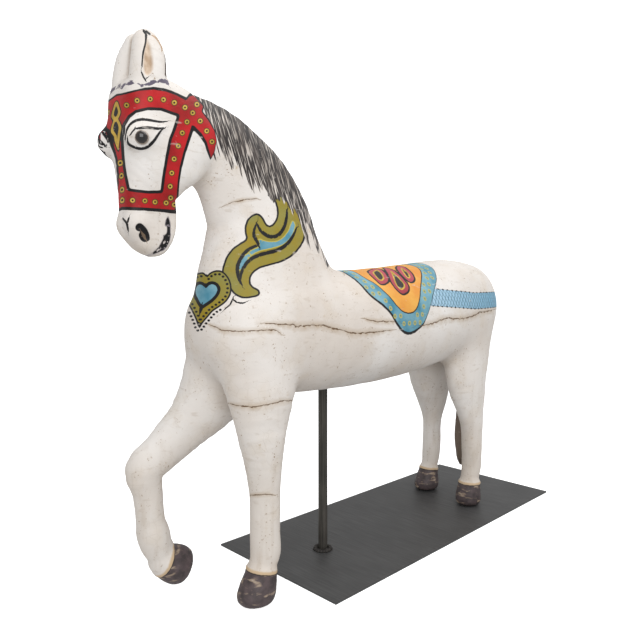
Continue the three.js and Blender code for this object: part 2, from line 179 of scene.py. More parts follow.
def limb(points, rows, squareness=LIMB_SQUARENESS, steps=STEPS):
    """Signed distance to sections swept along their stations, in the rows' millimetres."""
    sections = through(rows, steps)
    reach = sections[:, 3:].max(axis=1, keepdims=True) + REACH
    low, high = (sections[:, :3] - reach).min(axis=0), (sections[:, :3] + reach).max(axis=0)
    near = ((points >= low) & (points <= high)).all(axis=1)
    here = points[near]
    nearest = np.full(len(here), np.inf)
    for a, b in zip(sections, sections[1:]):
        way = b[:3] - a[:3]
        t = np.clip((here - a[:3]) @ way / (way @ way), 0, 1)
        off = here - a[:3] - t[:, None] * way
        depth, width = a[3] + t * (b[3] - a[3]), a[4] + t * (b[4] - a[4])
        fore, side = np.hypot(off[:, 0], off[:, 2]), np.abs(off[:, 1])
        nearest = np.minimum(nearest, section_distance(fore, side, depth, width, squareness))
    distance = np.full(len(points), REACH)
    distance[near] = nearest
    return distance


def hoof_axis(rows):
    """The middle of a hoof's coronet, the middle of its sole and the way from one to the other."""
    top, end, before = (np.array(rows[i][:3], float) for i in (0, -1, -2))
    return top, end, (end - before) / np.linalg.norm(end - before)


def hoof(points, rows):
    _, end, out = hoof_axis(rows)
    body = limb(points, rows, LIMB_SQUARENESS, HOOF_STEPS)
    return -smooth_min(-body, -((points - end) @ out), HOOF_EDGE)


def swelling(points, centre, radii):
    offset, radii = points - np.array(centre, float), np.array(radii, float)
    level = np.linalg.norm(offset / radii, axis=1)
    slope = np.linalg.norm(offset / radii ** 2, axis=1)
    return (level - 1) * level / np.maximum(slope, 1e-9)


def to_left(points):
    """The points with the right side's folded over to the left."""
    return points * (1, 0, 1) - np.abs(points * (0, 1, 0))


def mirrored(swell):
    """A swelling of the right side on the left side."""
    (x, y, z), radii = swell
    return (x, -y, z), radii


def head_form(points):
    right = -to_left(-points)
    head = limb(points, HEAD, HEAD_SQUARENESS)
    head = smooth_min(head, swelling(right, *JOWL), BLEND["jowl"])
    head = smooth_min(head, swelling(right, *NOSTRIL), BLEND["nostril"])
    head = smooth_min(head, swelling(right, *EYE_SOCKET), BLEND["socket"])
    return smooth_min(head, limb(right, EAR), BLEND["ear"])


def form(places):
    """The whole carving as one signed distance, for places in millimetres above the floor."""
    points = places - (0, 0, SOLE_LEVEL)
    body = smooth_min(limb(points, TORSO, TORSO_SQUARENESS), limb(points, NECK), BLEND["neck"])
    body = smooth_min(body, head_form(points), BLEND["head"])
    for leg, foot, kind in LEGS:
        body = smooth_min(body, limb(points, leg), BLEND[kind])
        body = smooth_min(body, hoof(points, foot), BLEND["hoof"])
    body = smooth_min(body, limb(points, TAIL), BLEND["tail"])
    return -smooth_min(-body, points[:, 2], SOLE_EDGE)


def slope_of(places, distance, step=0.5):
    return np.stack([(form(places + step * way) - distance) / step for way in np.eye(3)], axis=1)


def settle(places, turns):
    """Moves places onto the carving's surface, and gives them with their outward directions."""
    for _ in range(turns):
        distance = form(places)
        slope = slope_of(places, distance)
        square = np.maximum((slope ** 2).sum(axis=1, keepdims=True), 0.2)
        places = places - np.clip(distance, -8, 8)[:, None] * slope / square
    return places, slope / np.maximum(np.linalg.norm(slope, axis=1, keepdims=True), 1e-6)


LATTICE_LOW, LATTICE_HIGH = (-765, -160, -6), (350, 160, 1010)
HEAD_FROM, HEAD_ABOVE = -560, 640      # the head's part of the mesh is twice as fine
BLOCK = 6             # lattice lines in one block; blocks far from the surface are skipped


def lattice(cell):
    """Lattice lines, and the form's value where they cross."""
    blocks = [math.ceil((high - low) / cell / BLOCK) for low, high in zip(LATTICE_LOW, LATTICE_HIGH)]
    lines = [low + cell * np.arange(count * BLOCK) for low, count in zip(LATTICE_LOW, blocks)]
    middles = [line.reshape(-1, BLOCK).mean(axis=1) for line in lines]
    coarse = form(np.stack(np.meshgrid(*middles, indexing="ij"), axis=-1).reshape(-1, 3)).reshape(blocks)
    values = coarse.repeat(BLOCK, 0).repeat(BLOCK, 1).repeat(BLOCK, 2)
    close = np.abs(values) < 1.5 * cell * BLOCK
    places = np.stack(np.meshgrid(*lines, indexing="ij"), axis=-1)[close]
    values[close] = form(places)
    return lines, values


def surface_nets(lines, values):
    """One vertex in each lattice cell that the surface crosses, and a quad for each crossed edge."""
    inside = values < 0
    corners = [(i, j, k) for i in (0, 1) for j in (0, 1) for k in (0, 1)]
    size = [n - 1 for n in values.shape]
    count = sum(inside[i:size[0] + i, j:size[1] + j, k:size[2] + k].astype(int) for i, j, k in corners)
    cells = np.argwhere((count > 0) & (count < 8))
    number = np.full(size, -1)
    number[tuple(cells.T)] = np.arange(len(cells))
    total, crossings = np.zeros((len(cells), 3)), np.zeros(len(cells))
    for corner in corners:
        for axis in range(3):
            if corner[axis]:
                continue
            start = cells + corner
            end = start + np.eye(3, dtype=int)[axis]
            a, b = values[tuple(start.T)], values[tuple(end.T)]
            crossed = (a < 0) != (b < 0)
            place = np.stack([lines[n][start[:, n]] for n in range(3)], axis=1)
            length = lines[axis][end[:, axis]] - lines[axis][start[:, axis]]
            place[:, axis] += length * a / np.where(crossed, a - b, 1)
            total += np.where(crossed[:, None], place, 0)
            crossings += crossed
    quads = []
    for axis in range(3):
        u, v = (axis + 1) % 3, (axis + 2) % 3
        low, high = [slice(1, -1)] * 3, [slice(1, -1)] * 3
        low[axis], high[axis] = slice(0, -1), slice(1, None)
        a, b = inside[tuple(low)], inside[tuple(high)]
        for leaving in (True, False):
            edges = np.argwhere(a & ~b if leaving else ~a & b)
            edges[:, [u, v]] += 1
            ring = []
            for du, dv in ((1, 1), (0, 1), (0, 0), (1, 0)):
                cell = edges.copy()
                cell[:, u] -= du
                cell[:, v] -= dv
                ring.append(number[tuple(cell.T)])
            quads.append(np.stack(ring if leaving else ring[::-1], axis=1))
    return total / crossings[:, None], np.vstack(quads)


# The ornament. Most outlines are drawn as one sees them from the front left, so they are written
# in the pixels of a 640 x 640 view from there, and laid on the carving along the lines of sight.

VIEW_PLACE = (-1201.2, -943.4, 595.6)     # millimetres
VIEW_HEADING, VIEW_DIP = math.radians(47.36), math.radians(5.09)
VIEW_FOCUS, VIEW_CENTRE, VIEW_BARREL = 619.4, (356.0, 336.0), -0.08037

# The camera, which has no barrel distortion, so it stands and looks a little differently
CAMERA_PLACE = (-1.2022, -0.9447, 0.5975)
CAMERA_HEADING, CAMERA_DIP, CAMERA_ROLL = math.radians(45.64), math.radians(4.91), math.radians(-0.1)
CAMERA_SHIFT = (-0.0273, 0.0204)

BRIDLE = [
    (111.4, 99.3), (125.9, 96.3), (139.7, 92.6), (153.5, 91.2), (165.7, 92.8), (174.9, 96),
    (185.6, 101.5), (189.4, 97.5), (193.3, 96.5), (202.5, 107), (200.9, 112), (207, 119.5),
    (213.2, 130.2), (215.5, 140.9), (213.2, 151.6), (210.1, 157.8), (208.6, 151.6), (206.3, 142.5),
    (200.9, 133.3), (193.3, 125.6), (191, 125.6), (187.1, 137.9), (182.6, 151.6), (178.7, 167),
    (176.4, 182.3), (175.7, 194.5), (174.9, 199.1), (173.4, 209.8), (156.5, 208.5), (141.2, 207.5),
    (119.8, 207), (95, 207), (95, 99),
]
BRIDLE_LINE = [
    (111, 97), (123, 95), (135.7, 91.8), (144.9, 89.4), (153.6, 88.4), (163.8, 89.4), (171.4, 91.8),
    (180, 95.6), (186, 98.3), (189.4, 94.3), (194, 94.5), (204, 106.5), (202.5, 112), (208.5, 119),
    (214.2, 130), (216, 140.9), (213.8, 152), (209.5, 160.3), (206.3, 152), (203.5, 143.5),
    (198.5, 136.3), (193, 130.5), (189.8, 139), (185.2, 152.3), (181, 167.4), (178.4, 182.6),
    (177.4, 194.8), (176.5, 199.5), (175.2, 213.8), (156.5, 211.8), (141.2, 210.8), (119.8, 210.3),
    (95, 210.3), (95, 97),
]
CHEEK = [
    (123.2, 139), (124.8, 127.4), (129.8, 119.1), (136.4, 114.1), (148, 111.2), (160.5, 111.6),
    (176.2, 117), (172.9, 127.4), (167.9, 139.8), (164.6, 156.4), (162.1, 170.5), (159.2, 190.4),
    (148, 190.8), (138.9, 190), (129, 188.7), (126.5, 177.9), (124.8, 166.3), (124, 153.9),
]
LOZENGES = [
    (117.3, 103), (119.5, 108), (121, 113.5), (119.5, 118), (118.4, 120.5), (120.2, 124), (121.3, 129),
    (120, 136), (118.6, 146), (117.8, 152), (112.8, 146), (112.3, 136), (111.8, 129), (113, 124),
    (114.8, 120.5), (113.3, 118), (112.3, 113.5), (114, 108),
]
NOSTRIL_MARK = [
    (134, 227.1), (135.2, 224.8), (137.5, 223.2), (140.4, 223.6), (143.2, 225.9), (146.1, 229.4),
    (147.8, 233.4), (148.7, 237.4), (148.4, 240.3), (146.1, 242), (143.2, 242.6), (140.4, 241.4),
    (138.6, 239.1), (137.5, 236.3), (137.8, 234), (139.2, 232), (136.9, 231.7), (134.6, 230),
]
MOUTH = [
    (167.6, 216.2), (169.1, 220.2), (169.9, 225.9), (169.9, 234.5), (169.1, 240.9), (166.2, 246.6),
    (162.2, 250), (157, 252.9), (151.3, 255.2), (146.7, 255.5), (150.1, 254.1), (153, 251.8),
    (157.6, 247.2), (161, 242), (162.7, 238), (162.7, 235.1), (165, 235.1), (166.8, 231.7),
    (166.8, 223.6), (165.3, 226.5), (164.5, 225.4), (165.6, 220.2),
]
EAR_HOLLOW = [
    (147.2, 41), (150.5, 46), (153, 55), (154.2, 66), (152.8, 74), (148.5, 78), (144.6, 75),
    (143.4, 62), (144.8, 52),
]
HEART = [
    (205.8, 276.5), (208.3, 273.5), (214.2, 271), (220, 271.3), (225, 275), (228.7, 281.5),
    (229.9, 288), (228.9, 294.5), (225.3, 300.8), (219.2, 306), (211.7, 311), (205.8, 317.8),
    (200.8, 323.6), (197.9, 328), (195.6, 321.7), (192.3, 314.2), (189, 307.5), (184, 299), (182, 286),
    (188, 276.5), (196.7, 273.8), (201.7, 273),
]
HEART_CORE = [
    (205, 288.3), (208.3, 285), (212.5, 284.7), (215.8, 287.5), (215.8, 291.7), (211.7, 297.5),
    (206.7, 301.7), (201.7, 305), (200.6, 305.6), (197.5, 300), (194.7, 294.2), (194.2, 290),
    (196.3, 285.8), (199.2, 284.7), (202.5, 286.7),
]
SCROLL = [
    (267.1, 192.8), (274, 199.7), (277.1, 210.4), (275.6, 219.6), (270.2, 225.7), (265.6, 224.2),
    (261.8, 218.1), (258, 214.2), (253.4, 214.2), (248, 218.1), (245, 225), (244.6, 231.8),
    (245.7, 238.7), (239.6, 243.3), (231.9, 248.7), (225.8, 257.1), (222, 268.6), (222, 274.7),
    (225.8, 279.3), (229.6, 288.5), (235, 294.6), (242.7, 297.7), (251.8, 296.9), (258, 294.6),
    (258, 290.8), (251.8, 286.9), (248.8, 282.4), (250.3, 274.7), (258, 267.8), (270.2, 264),
    (282.5, 260.2), (293.2, 253.3), (300.8, 244.1), (303.9, 234.9), (301.6, 222.7), (297.8, 208.9),
    (293.2, 199.7),
]
SCROLL_CORE = [
    (258.3, 238.3), (263.3, 240.8), (273.3, 241.7), (281.7, 238.3), (288.3, 230), (291.7, 220.8),
    (294.2, 224.2), (291.7, 233.3), (285, 241.7), (276.7, 245.8), (266.7, 248.3), (256.7, 250.8),
    (248.3, 256.7), (242.5, 265), (238.5, 270), (237.8, 265), (241.7, 258.3), (250, 250.8),
    (258.3, 246.7), (259.2, 243.3),
]
MANE = [
    (176, 84), (190, 76), (250, 112), (300, 155), (335, 215), (336, 262), (331, 264), (326, 261),
    (318, 249), (308, 233), (301, 220), (296, 212), (290, 208), (284, 203), (276, 200), (266, 197),
    (259, 193), (252, 187), (247, 179), (241, 171), (232, 166), (224, 161), (217, 152), (213, 138),
    (208, 120), (200, 108), (190, 97),
]
HAIR_WAY = (0.26, 0.966)     # the way that the mane hangs

# Brush strokes: tone, from 0 for black to 1 for pale brown, then (x, y, half width) along the stroke
SMUDGE = 0.5          # the tone that stands for a broken, purple grey smudge
HEAD_STROKES = [
    (0, [(127.2, 138.1, 0.3), (128.1, 143.9, 0.8), (133.1, 147.3, 1), (139.8, 148.9, 1),
         (146.4, 147.3, 1.1), (152.2, 142.3, 1.1), (156.3, 136.5, 0.9), (160.5, 130.7, 0.6),
         (163.8, 128.6, 0.3)]),
    (0, [(130.2, 135.5, 0.5), (133.9, 130.7, 0.6), (139.8, 129, 0.9), (146.4, 128.4, 1), (153, 129, 1),
         (158.8, 129.4, 0.9), (163.8, 128.4, 0.4)]),
    (0, [(124.8, 140.6, 0.5), (125.7, 133.2, 0.7), (129, 126.5, 0.9), (134.8, 122, 1),
         (143.1, 120.3, 1), (153, 121.6, 0.9), (160.5, 122.6, 0.7), (167.1, 122, 0.3)]),
    # A grey stroke inside the nostril's black is a painted highlight
    (0.3, [(141.2, 233.5, 0.7), (143.4, 236.4, 1.3), (144.6, 239.4, 0.9)]),
    (0, [(145.4, 34.9, 1), (147.2, 38.2, 0.9), (146.7, 45.9, 0.6), (144.4, 54.5, 0.6),
         (143.4, 60.7, 0.5), (142.6, 68.8, 0.5)]),
    (0, [(142.3, 74.9, 0.6), (143.9, 79, 0.6), (145.4, 81.3, 0.6), (147.7, 79.5, 0.4)]),
    (0, [(147.4, 35.1, 0.9), (150.5, 37.4, 0.9), (151.8, 38.4, 0.3)]),
    (0.8, [(153, 38.6, 0.4), (157.7, 41.8, 0.7), (162.2, 48.4, 0.8), (162.8, 53, 0.6)]),
    (0.1, [(165.2, 52, 0.4), (166.2, 60, 0.7), (166.6, 66, 0.9), (166.8, 71.4, 1.1), (166.3, 77, 1)]),
    (SMUDGE, [(112, 95, 1.2), (121.9, 88.7, 1.9), (133.2, 85.3, 2.1), (143.4, 86.7, 1.7),
              (153.6, 84.3, 1.8), (163.8, 82.8, 1.6), (168, 86, 1.2)]),
]
BODY_STROKES = [
    (0, [(255.8, 222.5, 0.5), (253.5, 229, 1), (253.3, 235, 1.3), (256.2, 241, 1.2), (257.8, 244.4, 1)]),
    (0, [(257.8, 244.4, 1), (250, 247.8, 1.2), (244.5, 251.8, 1.4), (240, 258, 1.4), (236.9, 265, 1.4),
         (236.6, 272, 1.4), (238.2, 279, 1.2), (241, 285, 0.5)]),
    (0, [(255.8, 222.5, 0.6), (259.5, 229.5, 1.1), (264.5, 234, 1.4), (270, 236.2, 1.4),
         (275.5, 235.6, 1.4), (280, 232, 1.3), (284, 225.5, 1.2), (286, 217, 1), (286.3, 209, 0.5)]),
    (0, [(239.5, 284, 0.3), (239.6, 277, 0.9), (241.2, 270.5, 1.2), (245.6, 263, 1.4),
         (251.5, 257.8, 1.4), (259, 254.6, 1.4), (267, 252.4, 1.4), (275, 250.4, 1.4), (282, 247, 1.4),
         (288, 241.8, 1.3), (292.6, 235, 1), (295.6, 228, 0.6)]),
    (0, [(223.6, 309.3, 0.4), (229.2, 304.7, 0.6), (231.7, 299.6, 0.6), (235.3, 302.1, 0.6),
         (241.4, 303.2, 0.6), (245.5, 302.1, 0.3)]),
]

# The front of an eye's bulge, as one sees the farther one past the face
LASHES = [
    (0, [(101, 128.6, 1.9), (104.5, 134.5, 1.8), (109, 142, 1.2)]),
    (0, [(97.2, 136.5, 0.6), (99.5, 141.5, 1), (102.4, 145.8, 1.7), (105, 149, 1), (105.8, 152, 0.4)]),
]
# The sharp tip of the heart's core, on the left side alone
HEART_TIP = [
    (0, [(200.4, 307.5, 1.5), (199.4, 310.5, 1.1), (198.8, 314.2, 0.5)]),
]
# The mark above the nostril, on the left side alone
MUZZLE_STROKES = [
    (0, [(121.6, 218.4, 0.5), (123.6, 221, 0.8), (125.7, 224.4, 0.9), (126.8, 231, 0.6)]),
    (0, [(127.7, 218.2, 0.6), (126.8, 221, 0.7), (126.2, 224.4, 0.6)]),
]

# Cracks of the left side: (x, y, half width)
CRACKS = [
    [(208.8, 325.1, 0.3), (223.1, 330.7, 0.6), (241.4, 332.2, 0.6), (256.7, 331.2, 0.5),
     (272, 330.2, 0.6), (279.2, 333.3, 0.3)],
    [(264.9, 323.6, 0.3), (277, 324.6, 0.6), (292, 325.1, 0.7), (296.2, 326.7, 0.7),
     (317.7, 325.2, 0.7), (329.9, 327.5, 0.7), (343.7, 331.3, 0.7), (357.5, 333.6, 0.7),
     (374.3, 332.1, 0.6), (391, 330.1, 0.3)],
    [(366.6, 319.1, 0.3), (377.4, 321.4, 0.5), (389.6, 321.4, 0.5), (398, 322, 0.2)],
    [(418, 326, 0.2), (424.6, 325, 0.5), (432.2, 323.7, 0.6), (441.2, 319.9, 0.6), (448.8, 318, 0.6),
     (459, 318.6, 0.6), (470.5, 316.7, 0.6), (479.4, 312.9, 0.6), (490.9, 310.4, 0.5)],
    [(230.2, 404.7, 0.3), (239.4, 407.2, 0.6), (251.6, 407.8, 0.6), (266.9, 406.2, 0.6),
     (280.2, 402.7, 0.6), (291.4, 401.6, 0.4)],
    [(246, 497, 0.2), (254, 496, 0.4), (266, 495.5, 0.4), (274, 496, 0.2)],
    [(222.8, 205.8, 0.2), (236.5, 200.5, 0.4), (254.9, 198.2, 0.3)],
    [(186.3, 371, 0.3), (193.5, 373.6, 0.3)],
    [(343, 270, 0.4), (341, 262, 0.2)],
]

RINGS = [
    (126.9, 106.8), (137.3, 102.1), (150.3, 100.4), (163.5, 100.7), (174.1, 103.6), (184.5, 108.3),
    (192.2, 113.4), (196.6, 105.1), (199.7, 121.3), (206.1, 131.1), (211.2, 141.7), (186.4, 122.4),
    (181.6, 133.2), (177.4, 146.1), (173.3, 159), (170.8, 173), (169.1, 186.4), (169.6, 197.8),
    (131.6, 200.6), (143.7, 200.9), (153.8, 202), (165, 202.8), (173.2, 204.6),
]
FACE_RINGS = [(120.3, 163.5), (120.8, 176.2), (121.5, 190), (121.6, 200.4)]

# The saddle cloth and its petals are drawn on the unrolled barrel: millimetres along, and down
# from the spine around a barrel of this radius and axis height.
BARREL_RADIUS, BARREL_AXIS = 130, 494
CLOTH = [
    (-262, 0), (-266, 38), (-270, 68), (-266, 94), (-261, 119), (-249, 137), (-226, 155), (-207, 173),
    (-193, 193), (-172, 211), (-145, 218), (-118, 211), (-94, 196), (-78, 177), (-64, 158), (-45, 135),
    (-19, 111), (3, 91), (23, 65), (32, 42), (38, 17), (40, 0), (30, -40), (-250, -40),
]
CLOTH_PANEL = [
    (-222, 0), (-224, 32), (-229, 76), (-215, 100), (-204, 121), (-191, 140), (-181, 154), (-164, 167),
    (-138, 170), (-118, 161), (-101, 142), (-74, 109), (-34, 71), (-17, 46), (-14, 25), (-12, 0),
    (-20, -40), (-215, -40),
]
PETALS = [
    [(-128, 10), (-150, 20), (-183, 39), (-200, 60), (-207, 83), (-203, 104), (-182, 103), (-161, 90),
     (-140, 57), (-127, 31)],
    [(-96, 10), (-112, 22), (-132, 46), (-150, 70), (-165, 94), (-167, 116), (-153, 132), (-128, 127),
     (-114, 111), (-113, 92), (-108, 68), (-98, 40)],
    [(-42, 10), (-62, 20), (-86, 38), (-104, 62), (-112, 84), (-104, 103), (-82, 98), (-68, 82), (-56, 54),
     (-46, 34)],
]
# The breeching strap: its middle's height at two places along the flank, and its half width
STRAP_START, STRAP_START_HEIGHT, STRAP_END, STRAP_END_HEIGHT, STRAP_HALF = -56, 560, 130, 547, 20
RUMP_AXIS, RUMP_RADIUS = 230, 95
# The noseband is also cut by height, so that it closes under the jaw.
NOSEBAND_LOW, NOSEBAND_HIGH = 713.5, 735.0
FAR_OFF, OFF_CHART = 99.0, -999
OUTLINE_REACH = 30    # how far outside an outline its distance is worked out
PIXELS_PER_MM = 0.52


def seen_at(places):
    """Where places in millimetres show in the view from the front left, in pixels."""
    heading = np.array([math.sin(VIEW_HEADING) * math.cos(VIEW_DIP),
                        math.cos(VIEW_HEADING) * math.cos(VIEW_DIP), -math.sin(VIEW_DIP)])
    right = np.array([math.cos(VIEW_HEADING), -math.sin(VIEW_HEADING), 0])
    offset = places - np.array(VIEW_PLACE)
    flat = np.stack([offset @ right, -(offset @ np.cross(right, heading))], axis=1)
    flat /= (offset @ heading)[:, None]
    flat *= 1 + VIEW_BARREL * (flat ** 2).sum(axis=1, keepdims=True)
    return VIEW_FOCUS * flat + VIEW_CENTRE


def outline_distance(points, outline, steps=1):
    """Signed distance from points to a closed outline, negative inside it."""
    corners = through(outline, steps, closed=True) if steps > 1 else np.array(outline, float)
    low, high = corners.min(axis=0) - OUTLINE_REACH, corners.max(axis=0) + OUTLINE_REACH
    close = ((points > low) & (points < high)).all(axis=1)
    here = points[close]
    distance, inside = np.full(len(here), np.inf), np.zeros(len(here), bool)
    for a, b in zip(corners, np.roll(corners, -1, axis=0)):
        way, off = b - a, here - a
        t = np.clip(off @ way / (way @ way), 0, 1)
        distance = np.minimum(distance, np.hypot(*(off - t[:, None] * way).T))
        if a[1] != b[1]:
            rises = (a[1] > here[:, 1]) != (b[1] > here[:, 1])
            inside ^= rises & (off[:, 0] < way[0] * off[:, 1] / way[1])
    found = np.full(len(points), float(OUTLINE_REACH))
    found[close] = np.where(inside, -distance, distance)
    return found


STROKE_JOINT = 1.3     # how far the pieces of a stroke run on past their joints, in pixels


def stroke_field(corners, strokes, spacing, reach):
    """For each triangle's corners, how far they lie across the nearest stroke, in half widths, and
    the stroke's tone. Triangles beyond reach get FAR_OFF."""
    middle = corners.mean(axis=1)
    across, tone = np.full(corners.shape[:2], FAR_OFF), np.zeros(corners.shape[:2])
    nearest = np.full(len(corners), reach)
    for shade, rows in strokes:
        rows = np.array(rows, float)
        steps = max(1, round(np.hypot(*np.diff(rows[:, :2], axis=0).T).mean() / spacing))
        line = through(rows, steps)
        low, high = line[:, :2].min(axis=0) - reach, line[:, :2].max(axis=0) + reach
        close = np.flatnonzero(((middle > low) & (middle < high)).all(axis=1))
        for n, (a, b) in enumerate(zip(line, line[1:])):
            way = b[:2] - a[:2]
            length = np.hypot(*way)
            along = (middle[close] - a[:2]) @ way / length ** 2
            off = middle[close] - a[:2] - np.clip(along, 0, 1)[:, None] * way
            distance = np.hypot(*off.T)
            best = distance < nearest[close]
            chosen = close[best]
            nearest[chosen] = distance[best]
            offset = corners[chosen] - a[:2]
            share = offset @ way / length ** 2
            side = (offset[..., 0] * way[1] - offset[..., 1] * way[0]) / length
            half = np.maximum(a[2] + np.clip(share, 0, 1) * (b[2] - a[2]), 0.05)
            before = -share * length - (STROKE_JOINT if n > 0 else 0)
            after = (share - 1) * length - (STROKE_JOINT if n < len(line) - 2 else 0)
            past = np.maximum(np.maximum(before, after), 0)
            across[chosen] = np.hypot(side, past) * np.where(side < 0, -1, 1) / half
            tone[chosen] = shade
    return np.stack([across, tone], axis=-1)


def ring_field(corners, field, centres, radius, kind):
    """Adds rings to a field: each triangle's corners get their offset from the nearest ring's
    centre in radii, and the ring's kind."""
    middle = corners.mean(axis=1)
    for centre in centres:
        size = np.array(radius, float) * (centre[2] if len(centre) > 2 else 1)
        spot = np.array(centre[:2])
        offset = (corners - spot) / size
        distance = np.hypot(*((middle - spot) / size).T)
        best = distance < np.minimum(np.hypot(*field[..., :2].mean(axis=1).T), 3.0)
        field[best, :, :2] = offset[best]
        field[best, :, 2] = kind
    return field


def along_outline(outline, inset, spacing, keep):
    """Places at an even spacing along a closed outline moved inwards, or outwards where the inset is
    negative."""
    line = through(outline, 4, closed=True)
    way = np.roll(line, -1, axis=0) - np.roll(line, 1, axis=0)
    line = line + inset * np.stack([-way[:, 1], way[:, 0]], axis=1) / np.hypot(*way.T)[:, None]
    run = np.concatenate([[0], np.cumsum(np.hypot(*np.diff(line, axis=0).T))])
    places = np.arange(spacing / 2, run[-1], spacing)
    found = np.stack([np.interp(places, run, line[:, n]) for n in (0, 1)], axis=1)
    return [tuple(place) for place in found if keep(*place)]


def cloth_rings():
    """Staggered rows of rings, kept where they lie in the border of the saddle cloth."""
    spots = np.array([(x + (9 if row % 2 else 0), down)
                      for row, down in enumerate(range(6, 220, 17)) for x in range(-270, 50, 19)], float)
    outer = outline_distance(spots, CLOTH, 4)
    panel = outline_distance(spots, CLOTH_PANEL, 4)
    return [tuple(spot) for spot in spots[(outer < -8) & (panel > 7)]]


def smooth_step(low, high, value):
    share = np.clip((value - low) / (high - low), 0, 1)
    return share * share * (3 - 2 * share)


HORIZON = 0.06        # how little a place may face the view and still be drawn on from there
TURNED_AWAY = 80      # what being turned away beyond that adds to a mark's distance
HEAD_SLACK, BODY_SLACK = 12, 30     # how far a mark may run on past its own part, in millimetres
PART_MOST, PART_CUT = 40, 8         # the most that being on another part adds, and where strokes end


class Surface:
    """The carving's vertices with what the ornament and the relief need to know about them."""

    def __init__(self, places, outward):
        self.places, self.outward = places, outward
        left = to_left(places)
        facing_out = outward * np.where(places[:, 1:2] > 0, (1, -1, 1), (1, 1, 1))
        self.left = left
        self.pixels = seen_at(left)
        sight = np.array(VIEW_PLACE) - left
        sight /= np.linalg.norm(sight, axis=1, keepdims=True)
        self.facing = (facing_out * sight).sum(axis=1)
        self.hidden = np.clip(HORIZON - self.facing, 0, 1) * TURNED_AWAY
        self.far_pixels = seen_at(left * (1, -1, 1))
        self.front_pixels = seen_at(places)
        sight = np.array(VIEW_PLACE) - places
        sight /= np.linalg.norm(sight, axis=1, keepdims=True)
        self.front_hidden = np.clip(HORIZON - (outward * sight).sum(axis=1), 0, 1) * TURNED_AWAY
        points = places - (0, 0, SOLE_LEVEL)
        self.head = head_form(points)
        self.neck = limb(points, NECK)
        self.torso = limb(points, TORSO, TORSO_SQUARENESS)
        self.tail = limb(points, TAIL)
        self.barrel = np.stack([
            left[:, 0], BARREL_RADIUS * np.arctan2(-left[:, 1], left[:, 2] - BARREL_AXIS),
        ], axis=1)
        past_head = self.head - np.minimum(self.neck, self.torso)
        self.on_head = np.clip(past_head - HEAD_SLACK, 0, PART_MOST)
        self.on_body = np.clip(-past_head - BODY_SLACK, 0, PART_MOST)

    def front_mark(self, outline, steps):
        """The heart alone goes over the middle of the chest, and isn't mirrored."""
        return outline_distance(self.front_pixels, outline, steps) + self.front_hidden + self.on_body

    def head_mark(self, outline, steps=1):
        return outline_distance(self.pixels, outline, steps) + self.hidden + self.on_head

    def body_mark(self, outline, steps=4):
        return outline_distance(self.pixels, outline, steps) + self.hidden + self.on_body

    def hooves(self):
        """Height above the nearest coronet, negative in a hoof."""
        points = self.places - (0, 0, SOLE_LEVEL)
        above = np.full(len(points), FAR_OFF)
        for rows in HOOVES:
            top, _, out = hoof_axis(rows)
            near = limb(points, rows, LIMB_SQUARENESS, HOOF_STEPS) < 16
            above = np.where(near, np.minimum(above, -((points - top) @ out)), above)
        return above


def relief(surface, settings):
    """How far each vertex stands out from the plain form, in millimetres."""
    pixels = surface.pixels
    front = smooth_step(0.0, 0.2, surface.facing) * (surface.on_head < 1)
    height = -5.0 * settings.relief * front * smooth_step(0.5, -3.5, surface.head_mark(EAR_HOLLOW, 3))
    height -= 4.5 * settings.relief * front * smooth_step(0.8, -2.6, surface.head_mark(NOSTRIL_MARK, 3))
    height -= 2.2 * settings.relief * front * smooth_step(0.8, -1.6, surface.head_mark(MOUTH))
    for tone, rows in HEAD_STROKES[:2]:
        line = through([row[:2] for row in rows], 4)
        distance = np.min([np.hypot(*(pixels - spot).T) for spot in line], axis=0)
        height += 1.3 * settings.relief * front * np.exp(-(distance / 1.9) ** 2)
    above = surface.hooves()
    height += 2.0 * np.exp(-((above - 2) / 3.5) ** 2)
    tail = surface.tail - np.minimum(surface.torso, surface.neck)
    angle = np.arctan2(surface.places[:, 1], surface.places[:, 0] - 280)
    height_up = surface.places[:, 2]
    locks = np.sin(7 * angle + height_up / 26) + 0.6 * np.sin(11 * angle - height_up / 41)
    height += 1.1 * locks * smooth_step(-2, -10, tail)
    uneven = np.array([
        noise.noise(Vector(place) * 0.022) + 0.45 * noise.noise(Vector(place) * 0.055)
        for place in surface.places.tolist()
    ])
    return height + settings.unevenness / MM * uneven


def bridle_marks(surface):
    """Distances to the red straps, their black line and the windows of bare paint between them."""
    left = surface.left
    middle, half = (NOSEBAND_LOW + NOSEBAND_HIGH) / 2, (NOSEBAND_HIGH - NOSEBAND_LOW) / 2
    band = (np.abs(left[:, 2] - middle) - half) * PIXELS_PER_MM
    band += np.where(surface.facing < 0.1, 0, FAR_OFF) + surface.on_head + 3 * (left[:, 0] > -600)
    red = np.minimum(surface.head_mark(BRIDLE), band + 1.5)
    line = np.minimum(surface.head_mark(BRIDLE_LINE), band)
    bulge = swelling(left - (0, 0, SOLE_LEVEL), *mirrored(EYE_SOCKET)) - 5
    bulge = np.where(surface.facing < 0.02, bulge, FAR_OFF)
    return red, line, np.minimum(surface.head_mark(CHEEK), PIXELS_PER_MM * bulge)


def cloth_marks(surface):
    """Distances to the saddle cloth, its panel and the nearest petal, in millimetres."""
    shapes = [outline_distance(surface.barrel, outline, 4) for outline in [CLOTH, CLOTH_PANEL] + PETALS]
    return shapes[0], shapes[1], np.min(shapes[2:], axis=0)


